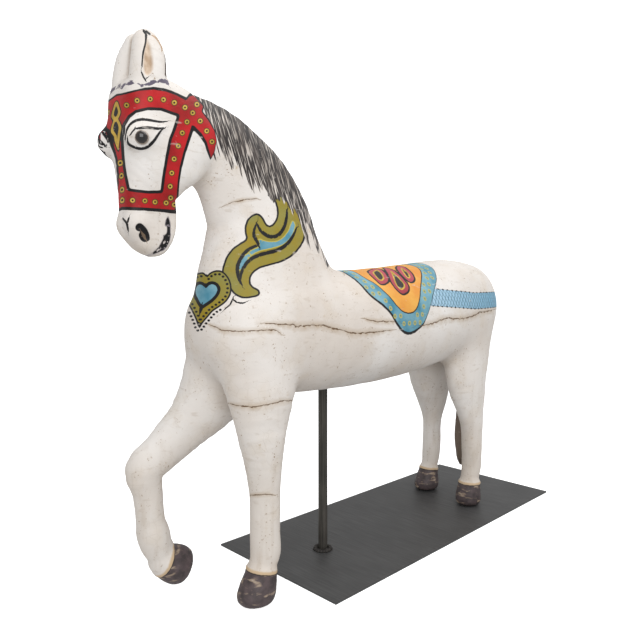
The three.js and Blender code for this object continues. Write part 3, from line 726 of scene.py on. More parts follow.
def strap_marks(surface):
    """How far along the breeching strap, above its middle and outside its edge, in millimetres."""
    left = surface.left
    share = np.clip((left[:, 0] - STRAP_START) / (STRAP_END - STRAP_START), 0, 1)
    above = left[:, 2] - STRAP_START_HEIGHT - share * (STRAP_END_HEIGHT - STRAP_START_HEIGHT)
    round_rump = RUMP_AXIS + RUMP_RADIUS * np.arctan2(left[:, 0] - RUMP_AXIS, -left[:, 1])
    along = np.where(left[:, 0] < RUMP_AXIS, left[:, 0], round_rump)
    away = FAR_OFF * (left[:, 0] < STRAP_START - 8) + FAR_OFF * (surface.tail < 1.5)
    return along, above, np.abs(above) - STRAP_HALF + away


def mane_marks(surface):
    """Across and along the hair, and the distance to the mane's edge, in pixels."""
    way = np.array(HAIR_WAY)
    edge = outline_distance(surface.pixels, MANE, 2) + np.clip(surface.neck - surface.head - 6, 0, 40) * 2
    return surface.pixels @ (way[1], -way[0]), surface.pixels @ way, edge


def part_marks(surface):
    """Height above the coronets, distance to the tail, and how hollow the surface is there."""
    tail = np.where(surface.tail < 6, surface.tail - np.minimum(surface.torso, 30), FAR_OFF)
    return surface.hooves(), tail, 12 - form(surface.places + 12 * surface.outward)


def fields(surface, triangles):
    """The ornament's measures: {name: (domain, three numbers for each vertex or triangle corner)}."""
    ear, nothing = surface.head_mark(EAR_HOLLOW, 3), np.zeros(len(surface.places))
    found = {
        "bridle": bridle_marks(surface),
        "face": (surface.head_mark(LOZENGES, 3), surface.head_mark(NOSTRIL_MARK, 3),
                 surface.head_mark(MOUTH)),
        "heart": (surface.front_mark(HEART, 4), surface.front_mark(HEART_CORE, 4), ear),
        "scroll": (surface.body_mark(SCROLL), surface.body_mark(SCROLL_CORE, 3), nothing),
        "cloth": cloth_marks(surface), "strap": strap_marks(surface), "mane": mane_marks(surface),
        "parts": part_marks(surface),
    }
    found = {name: ("POINT", np.stack(values, axis=1)) for name, values in found.items()}

    def seen(pixels, hidden):
        """The triangles' corners in a chart, with the hidden triangles moved out of it."""
        return np.where(hidden[triangles].max(axis=1)[:, None, None] > 0, OFF_CHART, pixels[triangles])

    head = seen(surface.pixels, surface.hidden + (surface.on_head > PART_CUT))
    body = seen(surface.pixels, surface.hidden + (surface.on_body > PART_CUT))
    right = surface.places[:, 1] > 0
    left_head = seen(surface.pixels, surface.hidden + (surface.on_head > PART_CUT) + right)
    left_body = seen(surface.pixels, surface.hidden + (surface.on_body > PART_CUT) + right)
    bulge = seen(surface.far_pixels, (surface.facing >= HORIZON) | (surface.places[:, 0] >= -700))

    rings = np.full(head.shape[:2] + (3,), 9.0)
    rings[..., 2] = 0
    rings = ring_field(head, rings, RINGS, (2.3, 2.3), 1)
    rings = ring_field(head, rings, FACE_RINGS, (1.8, 2.7), 1)
    rings = ring_field(surface.barrel[triangles], rings, cloth_rings(), (5.2, 5.2), 2)
    dots = along_outline(HEART, 3.3, 4.3, lambda x, y: x > 190)
    dots += along_outline(HEART, -3.4, 4.0, lambda x, y: x > 187 and y > 310)
    rings = ring_field(seen(surface.front_pixels, surface.front_hidden), rings, dots, (1.45, 1.2), 3)
    found["rings"] = ("CORNER", rings)

    strokes = stroke_field(head, HEAD_STROKES, 2.5, 5)
    for corners, rows, spacing, reach in (
        (body, BODY_STROKES, 3, 6), (bulge, LASHES, 2, 5), (left_body, HEART_TIP, 2, 5),
        (left_head, MUZZLE_STROKES, 2, 5),
    ):
        more = stroke_field(corners, rows, spacing, reach)
        strokes = np.where(np.abs(strokes[..., :1]) < FAR_OFF, strokes, more)
    cracks = stroke_field(left_body, [(0.0, rows) for rows in CRACKS], 4, 6)
    found["strokes"] = ("CORNER", np.concatenate([strokes, cracks[..., :1]], axis=-1))
    return found


# Materials

def add(tree, kind, inputs=None, output=0, **settings):
    """Adds a node with its settings, and its inputs as values or as other nodes' output sockets.
    Gives one of its own output sockets."""
    node = tree.nodes.new(kind)
    for name, value in settings.items():
        setattr(node, name, value)
    for name, value in (inputs or {}).items():
        if isinstance(value, bpy.types.NodeSocket):
            tree.links.new(value, node.inputs[name])
        else:
            node.inputs[name].default_value = value
    return node.outputs[output] if len(node.outputs) else None


def brush_edge():
    """A node group: how much of a painted shape's colour shows at a distance from its edge."""
    tree = bpy.data.node_groups.new("Brush edge", "ShaderNodeTree")
    for name, value in (("Distance", 0.0), ("Edge", 0.0), ("Softness", 0.3), ("Wobble", 0.0)):
        socket = tree.interface.new_socket(name, in_out="INPUT", socket_type="NodeSocketFloat")
        socket.default_value = value
    tree.interface.new_socket("Mask", in_out="OUTPUT", socket_type="NodeSocketFloat")
    given = add(tree, "NodeGroupInput").node.outputs
    place = add(tree, "ShaderNodeTexCoord", output="Object")
    shake = add(tree, "ShaderNodeTexNoise", {"Vector": place, "Scale": 110.0, "Detail": 3.0})
    shake = add(tree, "ShaderNodeMath", {0: shake, 1: 0.5}, operation="SUBTRACT")
    moved = add(tree, "ShaderNodeMath", {0: shake, 1: given["Wobble"], 2: given["Distance"]},
                operation="MULTIPLY_ADD")
    inner = add(tree, "ShaderNodeMath", {0: given["Edge"], 1: given["Softness"]}, operation="SUBTRACT")
    outer = add(tree, "ShaderNodeMath", {0: given["Edge"], 1: given["Softness"]}, operation="ADD")
    mask = add(tree, "ShaderNodeMapRange", {
        "Value": moved, "From Min": inner, "From Max": outer, "To Min": 1.0, "To Max": 0.0,
    }, interpolation_type="SMOOTHSTEP")
    add(tree, "NodeGroupOutput", {"Mask": mask})
    return tree


def new_material(name):
    """A material with an empty node tree."""
    material = bpy.data.materials.new(name)
    material.use_nodes = True
    material.node_tree.nodes.clear()
    return material


# The noises, each used wherever something varies at that size: (scale, detail, stretch)
NOISES = {
    "broad": (5.0, 3.0, (1, 1, 1)), "patch": (22.0, 4.0, (1, 1, 1)), "mottle": (70.0, 5.0, (1, 1, 1)),
    "speck": (230.0, 3.0, (1, 1, 1)), "fine": (900.0, 4.0, (1, 1, 1)), "run": (60.0, 4.0, (1, 1, 0.18)),
    "scuff": (120.0, 6.0, (0.35, 0.35, 1)),
}
MEASURES = ("bridle", "face", "heart", "scroll", "cloth", "strap", "mane", "parts", "rings", "strokes")


class PaintBox:
    """What the finishes of the painted wood share: its place, height, measures, noises and colours."""

    def __init__(self, tree, settings):
        self.tree = tree
        self.place = add(tree, "ShaderNodeTexCoord", output="Object")
        self.height = add(tree, "ShaderNodeSeparateXYZ", {0: self.place}, 2)
        self.ink = linear("#0B0B0E")
        self.part, self.noises, self.tones = {}, {}, {}
        for name in MEASURES:
            vector = add(tree, "ShaderNodeAttribute", output="Vector", attribute_name=name)
            for n, socket in enumerate(add(tree, "ShaderNodeSeparateXYZ", {0: vector}).node.outputs):
                self.part[name, n] = socket
        for name, (scale, detail, stretch) in NOISES.items():
            place = add(tree, "ShaderNodeVectorMath", {0: self.place, 1: stretch}, operation="MULTIPLY")
            self.noises[name] = add(tree, "ShaderNodeTexNoise", {
                "Vector": place, "Scale": scale, "Detail": detail})
        # A colour goes over to another where a noise rises from a low to a high level.
        for name, noise_name, low, high, first, second in (
            ("white", "broad", 0.35, 0.65, settings.white, "#DAD1C8"),
            ("red", "patch", 0.35, 0.7, settings.red, "#8E0D0E"),
            ("yellow", "mottle", 0.35, 0.7, settings.yellow, "#A98A2A"),
            ("olive", "patch", 0.35, 0.7, settings.olive, "#8C8A48"),
            ("blue", "patch", 0.35, 0.65, settings.blue, "#86B3C0"),
            ("orange", "patch", 0.35, 0.7, settings.orange, "#E0913A"),
            ("hoof", "mottle", 0.3, 0.7, linear("#5E5152"), "#3E3738"),
            ("grey", "mottle", 0.4, 0.65, linear("#6E6670"), "#D5CCC8"),
            # tan is painted shade for the ear's hollow
            ("tan", "mottle", 0.35, 0.65, linear("#DDCAB6"), "#B99F85"),
        ):
            share = add(tree, "ShaderNodeMapRange", {
                "Value": self.noises[noise_name], "From Min": low, "From Max": high})
            self.tones[name] = add(tree, "ShaderNodeMix", {
                0: share, 6: first, 7: linear(second)}, 2, data_type="RGBA")


def crack_distance(box):
    """The distance across a crack in half widths, shaken so that the crack wanders."""
    shaken = add(box.tree, "ShaderNodeMath", {0: box.noises["mottle"], 1: 7.0, 2: box.part["strokes", 2]},
                 operation="MULTIPLY_ADD")
    shaken = add(box.tree, "ShaderNodeMath", {0: shaken, 1: 3.5}, operation="SUBTRACT")
    return add(box.tree, "ShaderNodeMath", {0: shaken}, operation="ABSOLUTE")


def old_gesso(box, crack):
    """Old white paint: painted shade in the hollows, darker and browner towards the bottom, streaked,
    crazed and specked. Gives its colour and the crazing."""
    tree, noises = box.tree, box.noises
    shares = {}
    for name, value, low, high in (
        # hollow rises where the surface is hollow, for painted shade there; low rises towards the floor
        ("low", box.height, 0.5, 0.05), ("hollow", box.part["parts", 2], 1.2, 9.0),
        ("stain", noises["patch"], 0.5, 0.78), ("run", noises["run"], 0.5, 0.75),
        ("scuff", noises["scuff"], 0.6, 0.72), ("crazed", noises["patch"], 0.42, 0.6),
        ("speck", noises["speck"], 0.64, 0.69), ("cluster", noises["run"], 0.47, 0.6),
        ("fleck", noises["mottle"], 0.66, 0.72), ("beside", crack, 9.0, 1.0),
    ):
        shares[name] = add(tree, "ShaderNodeMapRange", {"Value": value, "From Min": low, "From Max": high})
    crazing = add(tree, "ShaderNodeTexVoronoi", {"Vector": box.place, "Scale": 55.0},
                  feature="DISTANCE_TO_EDGE")
    shares["line"] = add(tree, "ShaderNodeMapRange", {
        "Value": crazing, "From Min": 0.035, "From Max": 0.01})
    shares["mottle"] = noises["mottle"]
    for name, first, second in (
        ("streak", "run", "low"), ("crazing", "line", "crazed"), ("specks", "speck", "cluster"),
        ("flecks", "fleck", "stain"), ("brown", "beside", "mottle"),
    ):
        shares[name] = add(tree, "ShaderNodeMath", {0: shares[first], 1: shares[second]},
                           operation="MULTIPLY")
    colour = box.tones["white"]
    for name, strength, over in (
        # The hollow colour #A08F7C is painted shade in the hollows
        ("stain", 0.28, "#CDB99C"), ("hollow", 0.75, "#A08F7C"), ("streak", 0.5, "#B7A897"),
        # The low colour makes the white darker and browner towards the bottom
        ("scuff", 0.3, "#B3A493"), ("low", 0.2, "#D2C4B2"), ("crazing", 0.10, "#9C8C7A"),
        ("specks", 0.75, "#8F7350"), ("flecks", 0.8, "#B0905A"), ("brown", 0.9, "#A98F6C"),
    ):
        share = add(tree, "ShaderNodeMath", {0: shares[name], 1: strength}, operation="MULTIPLY")
        colour = add(tree, "ShaderNodeMix", {0: share, 6: colour, 7: linear(over)}, 2, data_type="RGBA")
    return colour, shares["crazing"]


def petal_red_and_highlight(box):
    """Pink at the spine, deep red at the tip: the pink towards the spine is a painted highlight."""
    down = add(box.tree, "ShaderNodeMapRange", {"Value": box.height, "From Min": 0.545, "From Max": 0.615})
    return add(box.tree, "ShaderNodeMix", {
        0: down, 6: linear("#8E1826"), 7: linear("#B84B58")}, 2, data_type="RGBA")


def hoof_paint(box):
    """Purple brown with pale scratches."""
    share = add(box.tree, "ShaderNodeMapRange", {
        "Value": box.noises["scuff"], "From Min": 0.56, "From Max": 0.66, "To Max": 0.75})
    return add(box.tree, "ShaderNodeMix", {
        0: share, 6: box.tones["hoof"], 7: linear("#A8947F")}, 2, data_type="RGBA")


def strap_paint(box):
    """The breeching strap: its blue, darker towards the tail, its crossed lines and its dashed edges."""
    tree, along, above, outside = box.tree, *(box.part["strap", n] for n in range(3))
    lines = []
    for lean in (0.62, -0.62):
        run = add(tree, "ShaderNodeMath", {0: above, 1: lean, 2: along}, operation="MULTIPLY_ADD")
        lines.append(add(tree, "ShaderNodeMath", {0: run, 1: 6.0}, operation="PINGPONG"))
    crossing = add(tree, "ShaderNodeMath", {0: lines[1], 1: lines[0]}, operation="MINIMUM")
    off = add(tree, "ShaderNodeMath", {0: outside, 1: 0.0}, operation="MAXIMUM")
    crossing = add(tree, "ShaderNodeMath", {0: off, 1: 4.0, 2: crossing}, operation="MULTIPLY_ADD")
    rear = add(tree, "ShaderNodeMapRange", {"Value": along, "From Min": -40.0, "From Max": 230.0})
    blue = add(tree, "ShaderNodeMix", {
        0: rear, 6: linear("#A8CBE0"), 7: linear("#7CB0CB")}, 2, data_type="RGBA")
    dash = add(tree, "ShaderNodeMath", {0: along, 1: 9.0}, operation="PINGPONG")
    dash = add(tree, "ShaderNodeMapRange", {"Value": dash, "From Min": 1.5, "From Max": 4.0, "To Max": 1.3})
    edge = add(tree, "ShaderNodeMath", {0: outside}, operation="ABSOLUTE")
    return blue, crossing, add(tree, "ShaderNodeMath", {0: edge, 1: dash}, operation="ADD")


def hair_paint(box):
    """Dark and pale brush strokes side by side, with ragged ends. Gives the colour and the edge."""
    tree, hair = box.tree, {}
    for name, wide, long in (("jag", 0.22, 0.006), ("hair", 0.85, 0.05), ("lock", 0.25, 0.03)):
        wide = add(tree, "ShaderNodeMath", {0: box.part["mane", 0], 1: wide}, operation="MULTIPLY")
        long = add(tree, "ShaderNodeMath", {0: box.part["mane", 1], 1: long}, operation="MULTIPLY")
        vector = add(tree, "ShaderNodeCombineXYZ", {0: wide, 1: long})
        hair[name] = add(tree, "ShaderNodeTexNoise", {"Vector": vector, "Scale": 1.0, "Detail": 2.0})
    jag = add(tree, "ShaderNodeMapRange", {
        "Value": hair["jag"], "From Min": 0.3, "From Max": 0.7, "To Min": -8.0, "To Max": 9.0})
    edge = add(tree, "ShaderNodeMath", {0: box.part["mane", 2], 1: jag}, operation="ADD")
    share = add(tree, "ShaderNodeMapRange", {"Value": edge, "From Min": -30.0, "From Max": -6.0})
    colour = add(tree, "ShaderNodeMix", {
        0: share, 6: linear("#857B72"), 7: linear("#DDD4CB")}, 2, data_type="RGBA")
    share = add(tree, "ShaderNodeMapRange", {"Value": hair["hair"], "From Min": 0.5, "From Max": 0.6})
    colour = add(tree, "ShaderNodeMix", {0: share, 6: linear("#2D2827"), 7: colour}, 2, data_type="RGBA")
    share = add(tree, "ShaderNodeMapRange", {
        "Value": hair["lock"], "From Min": 0.5, "From Max": 0.6, "To Max": 0.8})
    colour = add(tree, "ShaderNodeMix", {0: share, 6: colour, 7: linear("#4A423E")}, 2, data_type="RGBA")
    return colour, edge


def ring_rows(box):
    """Painter's rows for the yellow rings of the bridle, the fainter ones of the cloth and the dots."""
    tree, part = box.tree, box.part
    away = add(tree, "ShaderNodeCombineXYZ", {0: part["rings", 0], 1: part["rings", 1]})
    away = add(tree, "ShaderNodeVectorMath", {0: away}, "Value", operation="LENGTH")
    is_dot = add(tree, "ShaderNodeMath", {0: part["rings", 2], 1: 3.0, 2: 0.2}, operation="COMPARE")
    on_cloth = add(tree, "ShaderNodeMath", {0: part["rings", 2], 1: 2.0, 2: 0.2}, operation="COMPARE")
    dots = add(tree, "ShaderNodeMath", {0: is_dot, 1: -FAR_OFF, 2: FAR_OFF}, operation="MULTIPLY_ADD")
    dots = add(tree, "ShaderNodeMath", {0: dots, 1: away}, operation="ADD")
    ring = add(tree, "ShaderNodeMath", {0: is_dot, 1: FAR_OFF, 2: away}, operation="MULTIPLY_ADD")
    rim = add(tree, "ShaderNodeMath", {0: on_cloth, 1: FAR_OFF, 2: ring}, operation="MULTIPLY_ADD")
    centre = add(tree, "ShaderNodeMix", {
        0: on_cloth, 6: box.ink, 7: linear("#5C8A86")}, 2, data_type="RGBA")
    band = add(tree, "ShaderNodeMix", {
        0: on_cloth, 6: box.tones["yellow"], 7: linear("#B8AE62")}, 2, data_type="RGBA")
    return [
        (rim, 1.35, 0.12, 0.2, linear("#4A3A16")),
        (ring, 1.0, 0.12, 0.1, band),
        (ring, 0.44, 0.12, 0.1, centre),
        (dots, 1.0, 0.2, 0.1, box.ink),
    ]


def brush_strokes(box):
    """The distance across the brush strokes and their colour. The smudges below the ears are broken."""
    tree = box.tree
    across = add(tree, "ShaderNodeMath", {0: box.part["strokes", 0]}, operation="ABSOLUTE")
    smudged = add(tree, "ShaderNodeMath", {0: box.part["strokes", 1], 1: SMUDGE, 2: 0.05},
                  operation="COMPARE")
    broken = add(tree, "ShaderNodeMapRange", {
        "Value": box.noises["mottle"], "From Min": 0.42, "From Max": 0.6, "To Max": 1.5})
    across = add(tree, "ShaderNodeMath", {0: smudged, 1: broken, 2: across}, operation="MULTIPLY_ADD")
    colour = add(tree, "ShaderNodeMix", {
        0: box.part["strokes", 1], 6: box.ink, 7: linear("#C8A888")}, 2, data_type="RGBA")
    colour = add(tree, "ShaderNodeMix", {
        0: smudged, 6: colour, 7: linear("#5F5868")}, 2, data_type="RGBA")
    return across, colour


def flecked_mouth(box):
    """The distance to the mouth's black, broken by pale flecks."""
    fleck = add(box.tree, "ShaderNodeMapRange", {
        "Value": box.noises["speck"], "From Min": 0.52, "From Max": 0.66, "To Min": -4.0, "To Max": 4.0})
    return add(box.tree, "ShaderNodeMath", {0: box.part["face", 2], 1: fleck}, operation="MAXIMUM")


def cloth_blue_edge(box):
    """The distance to the cloth's blue: its black edge is broad in front and thin at the back."""
    along = add(box.tree, "ShaderNodeSeparateXYZ", {0: box.place}, 0)
    broad = add(box.tree, "ShaderNodeMapRange", {
        "Value": along, "From Min": -0.13, "From Max": -0.08, "To Min": 4.5, "To Max": 0.0})
    return add(box.tree, "ShaderNodeMath", {0: broad, 1: box.part["cloth", 0]}, operation="ADD")


def painters_rows(box, gesso, crack):
    """What is painted, from first to last: distance, edge, softness, wobble, paint."""
    part, tones, ink = box.part, box.tones, box.ink
    blue, crossing, strap_edge = strap_paint(box)
    hair, hair_edge = hair_paint(box)
    stroke, stroke_tone = brush_strokes(box)
    return [
        (part["strap", 2], 0.0, 0.7, 2.0, blue),
        (crossing, 0.9, 0.6, 1.5, linear("#4F7187")),
        (strap_edge, 1.6, 0.7, 1.5, ink),
        (part["cloth", 0], 0.0, 0.8, 3.0, ink),
        (cloth_blue_edge(box), -1.5, 0.8, 2.5, tones["blue"]),
        (part["cloth", 1], 2.6, 0.7, 2.0, ink),
        (part["cloth", 1], 0.0, 0.8, 2.0, tones["orange"]),
        (part["cloth", 2], 0.0, 0.8, 2.0, ink),
        (part["cloth", 2], -4.5, 0.8, 2.0, petal_red_and_highlight(box)),
        (part["cloth", 2], -13.0, 0.8, 2.0, tones["yellow"]),
        (part["cloth", 2], -16.5, 0.8, 2.0, linear("#2A2620")),
        (part["scroll", 0], 0.9, 0.3, 0.9, ink),
        (part["scroll", 0], -1.0, 0.3, 0.7, tones["olive"]),
        (part["scroll", 1], 0.9, 0.3, 0.7, linear("#B9AE4E")),
        (part["scroll", 1], 0.0, 0.3, 0.7, tones["blue"]),
        (part["heart", 0], 0.7, 0.3, 0.7, ink),
        (part["heart", 0], -1.0, 0.3, 0.5, tones["olive"]),
        (part["heart", 1], 3.2, 0.3, 0.7, ink),
        (part["heart", 1], 0.0, 0.3, 0.7, tones["blue"]),
        (hair_edge, 0.0, 0.8, 1.5, hair),
        (part["bridle", 1], 0.0, 0.3, 0.8, ink),
        (part["bridle", 0], 0.0, 0.3, 0.6, tones["red"]),
        (part["bridle", 2], 3.0, 0.3, 0.6, ink),
        (part["bridle", 2], 0.0, 0.3, 0.6, gesso),
        (part["face", 0], 1.0, 0.25, 0.4, ink),
        (part["face", 0], 0.0, 0.25, 0.3, tones["yellow"]),
        (part["face", 0], -2.4, 0.25, 0.3, ink),
        # Tan painted shade in the ear's hollow
        (part["heart", 2], -0.5, 1.8, 1.5, tones["tan"]),
        (part["face", 1], 0.0, 0.3, 0.3, ink),
        (part["face", 2], 0.6, 0.3, 0.3, tones["grey"]),
        (flecked_mouth(box), 0.0, 0.3, 0.3, ink),
        *ring_rows(box),
        (stroke, 1.4, 0.3, 0.5, stroke_tone),
        (part["parts", 1], -1.5, 1.5, 3.0, linear("#7C6E62")),
        (part["parts", 0], 4.5, 2.0, 3.5, linear("#CDB391")),
        (part["parts", 0], -0.8, 0.8, 2.0, ink),
        (part["parts", 0], -2.2, 0.8, 2.0, hoof_paint(box)),
        (crack, 0.75, 0.6, 3.5, linear("#6B5238")),
    ]


def painted_wood(settings):
    """Hand-painted, worn gesso on carved wood: brush-soft edges, painted shade in the hollows, crazing,
    cracks at the joints between its blocks, and a dry sheen that is a little glossier on the ornament."""
    material = new_material("Old paint on carved wood")
    tree = material.node_tree
    box = PaintBox(tree, settings)
    noises = box.noises
    crack = crack_distance(box)
    gesso, crazing = old_gesso(box, crack)
    edge = brush_edge()
    colour, painted = gesso, 0.0
    for distance, at, softness, wobble, paint in painters_rows(box, gesso, crack):
        share = add(tree, "ShaderNodeGroup", {
            "Distance": distance, "Edge": at, "Softness": softness, "Wobble": wobble}, node_tree=edge)
        colour = add(tree, "ShaderNodeMix", {0: share, 6: colour, 7: paint}, 2, data_type="RGBA")
        painted = add(tree, "ShaderNodeMath", {0: painted, 1: share}, operation="MAXIMUM")

    # Rubbed spots where the gesso shows through the ornament
    rubbed = add(tree, "ShaderNodeMapRange", {
        "Value": noises["scuff"], "From Min": 0.66, "From Max": 0.74, "To Max": 0.7})
    rubbed = add(tree, "ShaderNodeMath", {0: rubbed, 1: settings.rubbing}, operation="MULTIPLY")
    colour = add(tree, "ShaderNodeMix", {0: rubbed, 6: colour, 7: gesso}, 2, data_type="RGBA")

    grain = add(tree, "ShaderNodeMapRange", {
        "Value": crack, "From Min": 1.3, "From Max": 0.5, "To Max": -1.5})
    for value, strength in (
        (noises["mottle"], 0.9), (noises["scuff"], 0.5), (noises["fine"], 0.12), (crazing, -0.25),
    ):
        grain = add(tree, "ShaderNodeMath", {0: value, 1: strength, 2: grain}, operation="MULTIPLY_ADD")
    normal = add(tree, "ShaderNodeBump", {"Height": grain, "Strength": 0.5, "Distance": 0.0012})
    rough = add(tree, "ShaderNodeMapRange", {"Value": painted, "To Min": 0.6, "To Max": 0.42})
    rough = add(tree, "ShaderNodeMath", {0: noises["mottle"], 1: 0.16, 2: rough}, operation="MULTIPLY_ADD")
    shader = add(tree, "ShaderNodeBsdfPrincipled", {
        "Base Color": colour, "Roughness": rough, "Normal": normal, "Specular IOR Level": 0.35})
    add(tree, "ShaderNodeOutputMaterial", {"Surface": shader})
    return material


def eye_glass():
    """Dark glass with a brown rim to its iris, wet and bright."""
    material = new_material("Dark eye glass")
    tree = material.node_tree
    across = add(tree, "ShaderNodeAttribute", output="Fac", attribute_name="across")
    place = add(tree, "ShaderNodeTexCoord", output="Object")
    cloud = add(tree, "ShaderNodeTexNoise", {"Vector": place, "Scale": 500.0, "Detail": 3.0})
    across = add(tree, "ShaderNodeMath", {0: cloud, 1: 0.25, 2: across}, operation="MULTIPLY_ADD")
    iris = add(tree, "ShaderNodeMapRange", {"Value": across, "From Min": 0.6, "From Max": 0.72})
    rim = add(tree, "ShaderNodeMapRange", {"Value": across, "From Min": 0.9, "From Max": 1.02})
    colour = add(tree, "ShaderNodeMix", {
        0: iris, 6: linear("#0B0908"), 7: linear("#231A15")}, 2, data_type="RGBA")
    colour = add(tree, "ShaderNodeMix", {0: rim, 6: colour, 7: linear("#A39588")}, 2, data_type="RGBA")
    shader = add(tree, "ShaderNodeBsdfPrincipled", {
        "Base Color": colour, "Roughness": 0.06, "Coat Weight": 0.6})
    add(tree, "ShaderNodeOutputMaterial", {"Surface": shader})
    return material


def steel(name, base, worn, rough, grain):
    """Blackened steel: a waxed dark skin with faint mill marks, rubbed paler in places, cloudy sheen."""
    material = new_material(name)
    tree = material.node_tree
    place = add(tree, "ShaderNodeTexCoord", output="Object")
    stretched = add(tree, "ShaderNodeVectorMath", {0: place, 1: grain}, operation="MULTIPLY")
    cloud = add(tree, "ShaderNodeTexNoise", {"Vector": place, "Scale": 9.0, "Detail": 5.0})
    marks = add(tree, "ShaderNodeTexNoise", {"Vector": stretched, "Scale": 260.0, "Detail": 4.0})
    share = add(tree, "ShaderNodeMath", {0: cloud, 1: marks}, operation="MULTIPLY")
    share = add(tree, "ShaderNodeMapRange", {"Value": share, "From Min": 0.15, "From Max": 0.4})
    colour = add(tree, "ShaderNodeMix", {0: share, 6: linear(base), 7: linear(worn)}, 2, data_type="RGBA")
    rough = add(tree, "ShaderNodeMath", {0: cloud, 1: 0.2, 2: rough}, operation="MULTIPLY_ADD")
    normal = add(tree, "ShaderNodeBump", {"Height": marks, "Strength": 0.15, "Distance": 0.0005})
    shader = add(tree, "ShaderNodeBsdfPrincipled", {
        "Base Color": colour, "Roughness": rough, "Metallic": 0.55, "Normal": normal})
    add(tree, "ShaderNodeOutputMaterial", {"Surface": shader})
    return material


# Pieces

def place_piece(piece, slot, *nodes):
    """Puts a finished piece in the scene: it rides on the one body and stands for the CAD nodes, which it
    hides.
    """
    if not piece.users_collection:
        bpy.context.scene.collection.objects.link(piece)
    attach(piece, "root")
    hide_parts(*nodes)


def carve(settings):
    """The carving's mesh with its relief and with the measures that its ornament is painted by."""
    cell = settings.cell / MM
    places, quads = surface_nets(*lattice(cell))
    mesh = bpy.data.meshes.new("carved_horse")
    mesh.from_pydata(places.tolist(), [], quads.tolist())
    shape = bmesh.new()
    shape.from_mesh(mesh)
    fine = {v for v in shape.verts if v.co.x < HEAD_FROM and v.co.z > HEAD_ABOVE}
    edges = [e for e in shape.edges if e.verts[0] in fine and e.verts[1] in fine]
    bmesh.ops.subdivide_edges(shape, edges=edges, cuts=1, use_grid_fill=True)
    bmesh.ops.triangulate(shape, faces=shape.faces)
    shape.to_mesh(mesh)
    shape.free()
    places = np.empty(len(mesh.vertices) * 3)
    mesh.vertices.foreach_get("co", places)
    places, outward = settle(places.reshape(-1, 3), 2)
    surface = Surface(places, outward)
    places = places + relief(surface, settings)[:, None] * outward
    low, high = (np.array(corner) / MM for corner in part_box("horse"))
    places = np.clip(places, low, high)
    mesh.vertices.foreach_set("co", (places * MM).ravel())
    triangles = np.empty(len(mesh.polygons) * 3, int)
    mesh.loops.foreach_get("vertex_index", triangles)
    for name, (domain, values) in fields(surface, triangles.reshape(-1, 3)).items():
        given = mesh.attributes.new(name, "FLOAT_VECTOR", domain)
        given.data.foreach_set("vector", values.astype(np.float32).ravel())
    mesh.shade_smooth()
    mesh.update()
    return mesh


STUB_DEPTH, STUB_CLEARANCE = 4.8, 0.15     # the eye's stub in its socket, in millimetres
DOME_RINGS = 10


def eye_profile(radius, dome):
    """Half of an eye's outline in millimetres, from its stub to near its top: (out, up) rows."""
    curve = (radius ** 2 + dome ** 2) / (2 * dome)
    profile = [(radius - STUB_CLEARANCE, -STUB_DEPTH), (radius - STUB_CLEARANCE, 0)]
    for n in range(1, DOME_RINGS):
        left = 1 - n / DOME_RINGS
        angle = math.asin(radius / curve) * left
        out, up = curve * math.sin(angle), curve * math.cos(angle)
        profile.append((out - STUB_CLEARANCE * left, dome - curve + up))
    return profile


def eye_mesh(settings, side):
    """A glass dome on its short stub, seated in the eye socket."""
    aim = np.array(EYE_AIM) / np.linalg.norm(EYE_AIM) * (1, side, 1)
    centre = np.array(EYE_SOCKET[0]) * (1, side, 1) + (0, 0, SOLE_LEVEL - EYE_DROP)
    steps = centre + np.arange(0, 60, 0.25)[:, None] * aim
    seat = steps[np.argmax(form(steps) >= 0)]
    radius, dome = settings.eye_diameter / MM / 2, settings.eye_dome / MM
    turn = Vector(aim).to_track_quat("Z", "Y").to_matrix()
    shape = bmesh.new()
    across = shape.verts.layers.float.new("across")
    rings = []
    angles = [math.tau * n / settings.eye_sides for n in range(settings.eye_sides)]
    for out, up in eye_profile(radius, dome):
        ring = [shape.verts.new(turn @ Vector((out * math.cos(a), out * math.sin(a), up)) + Vector(seat))
                for a in angles]
        for vert in ring:
            vert[across] = out / radius
        rings.append(ring)
    for lower, upper in zip(rings, rings[1:]):
        for n, vert in enumerate(lower):
            after = (n + 1) % len(lower)
            shape.faces.new((vert, lower[after], upper[after], upper[n]))
    top = shape.verts.new(turn @ Vector((0, 0, dome)) + Vector(seat))
    for n, vert in enumerate(rings[-1]):
        shape.faces.new((vert, rings[-1][(n + 1) % len(rings[-1])], top))
    shape.faces.new(rings[0][::-1])
    bmesh.ops.scale(shape, vec=(MM, MM, MM), verts=shape.verts)
    bmesh.ops.recalc_face_normals(shape, faces=shape.faces)
    for face in shape.faces:
        face.smooth = len(face.verts) < 5
    mesh = bpy.data.meshes.new("eye")
    shape.to_mesh(mesh)
    shape.free()
    mesh.set_sharp_from_angle(angle=math.radians(50))
    return mesh


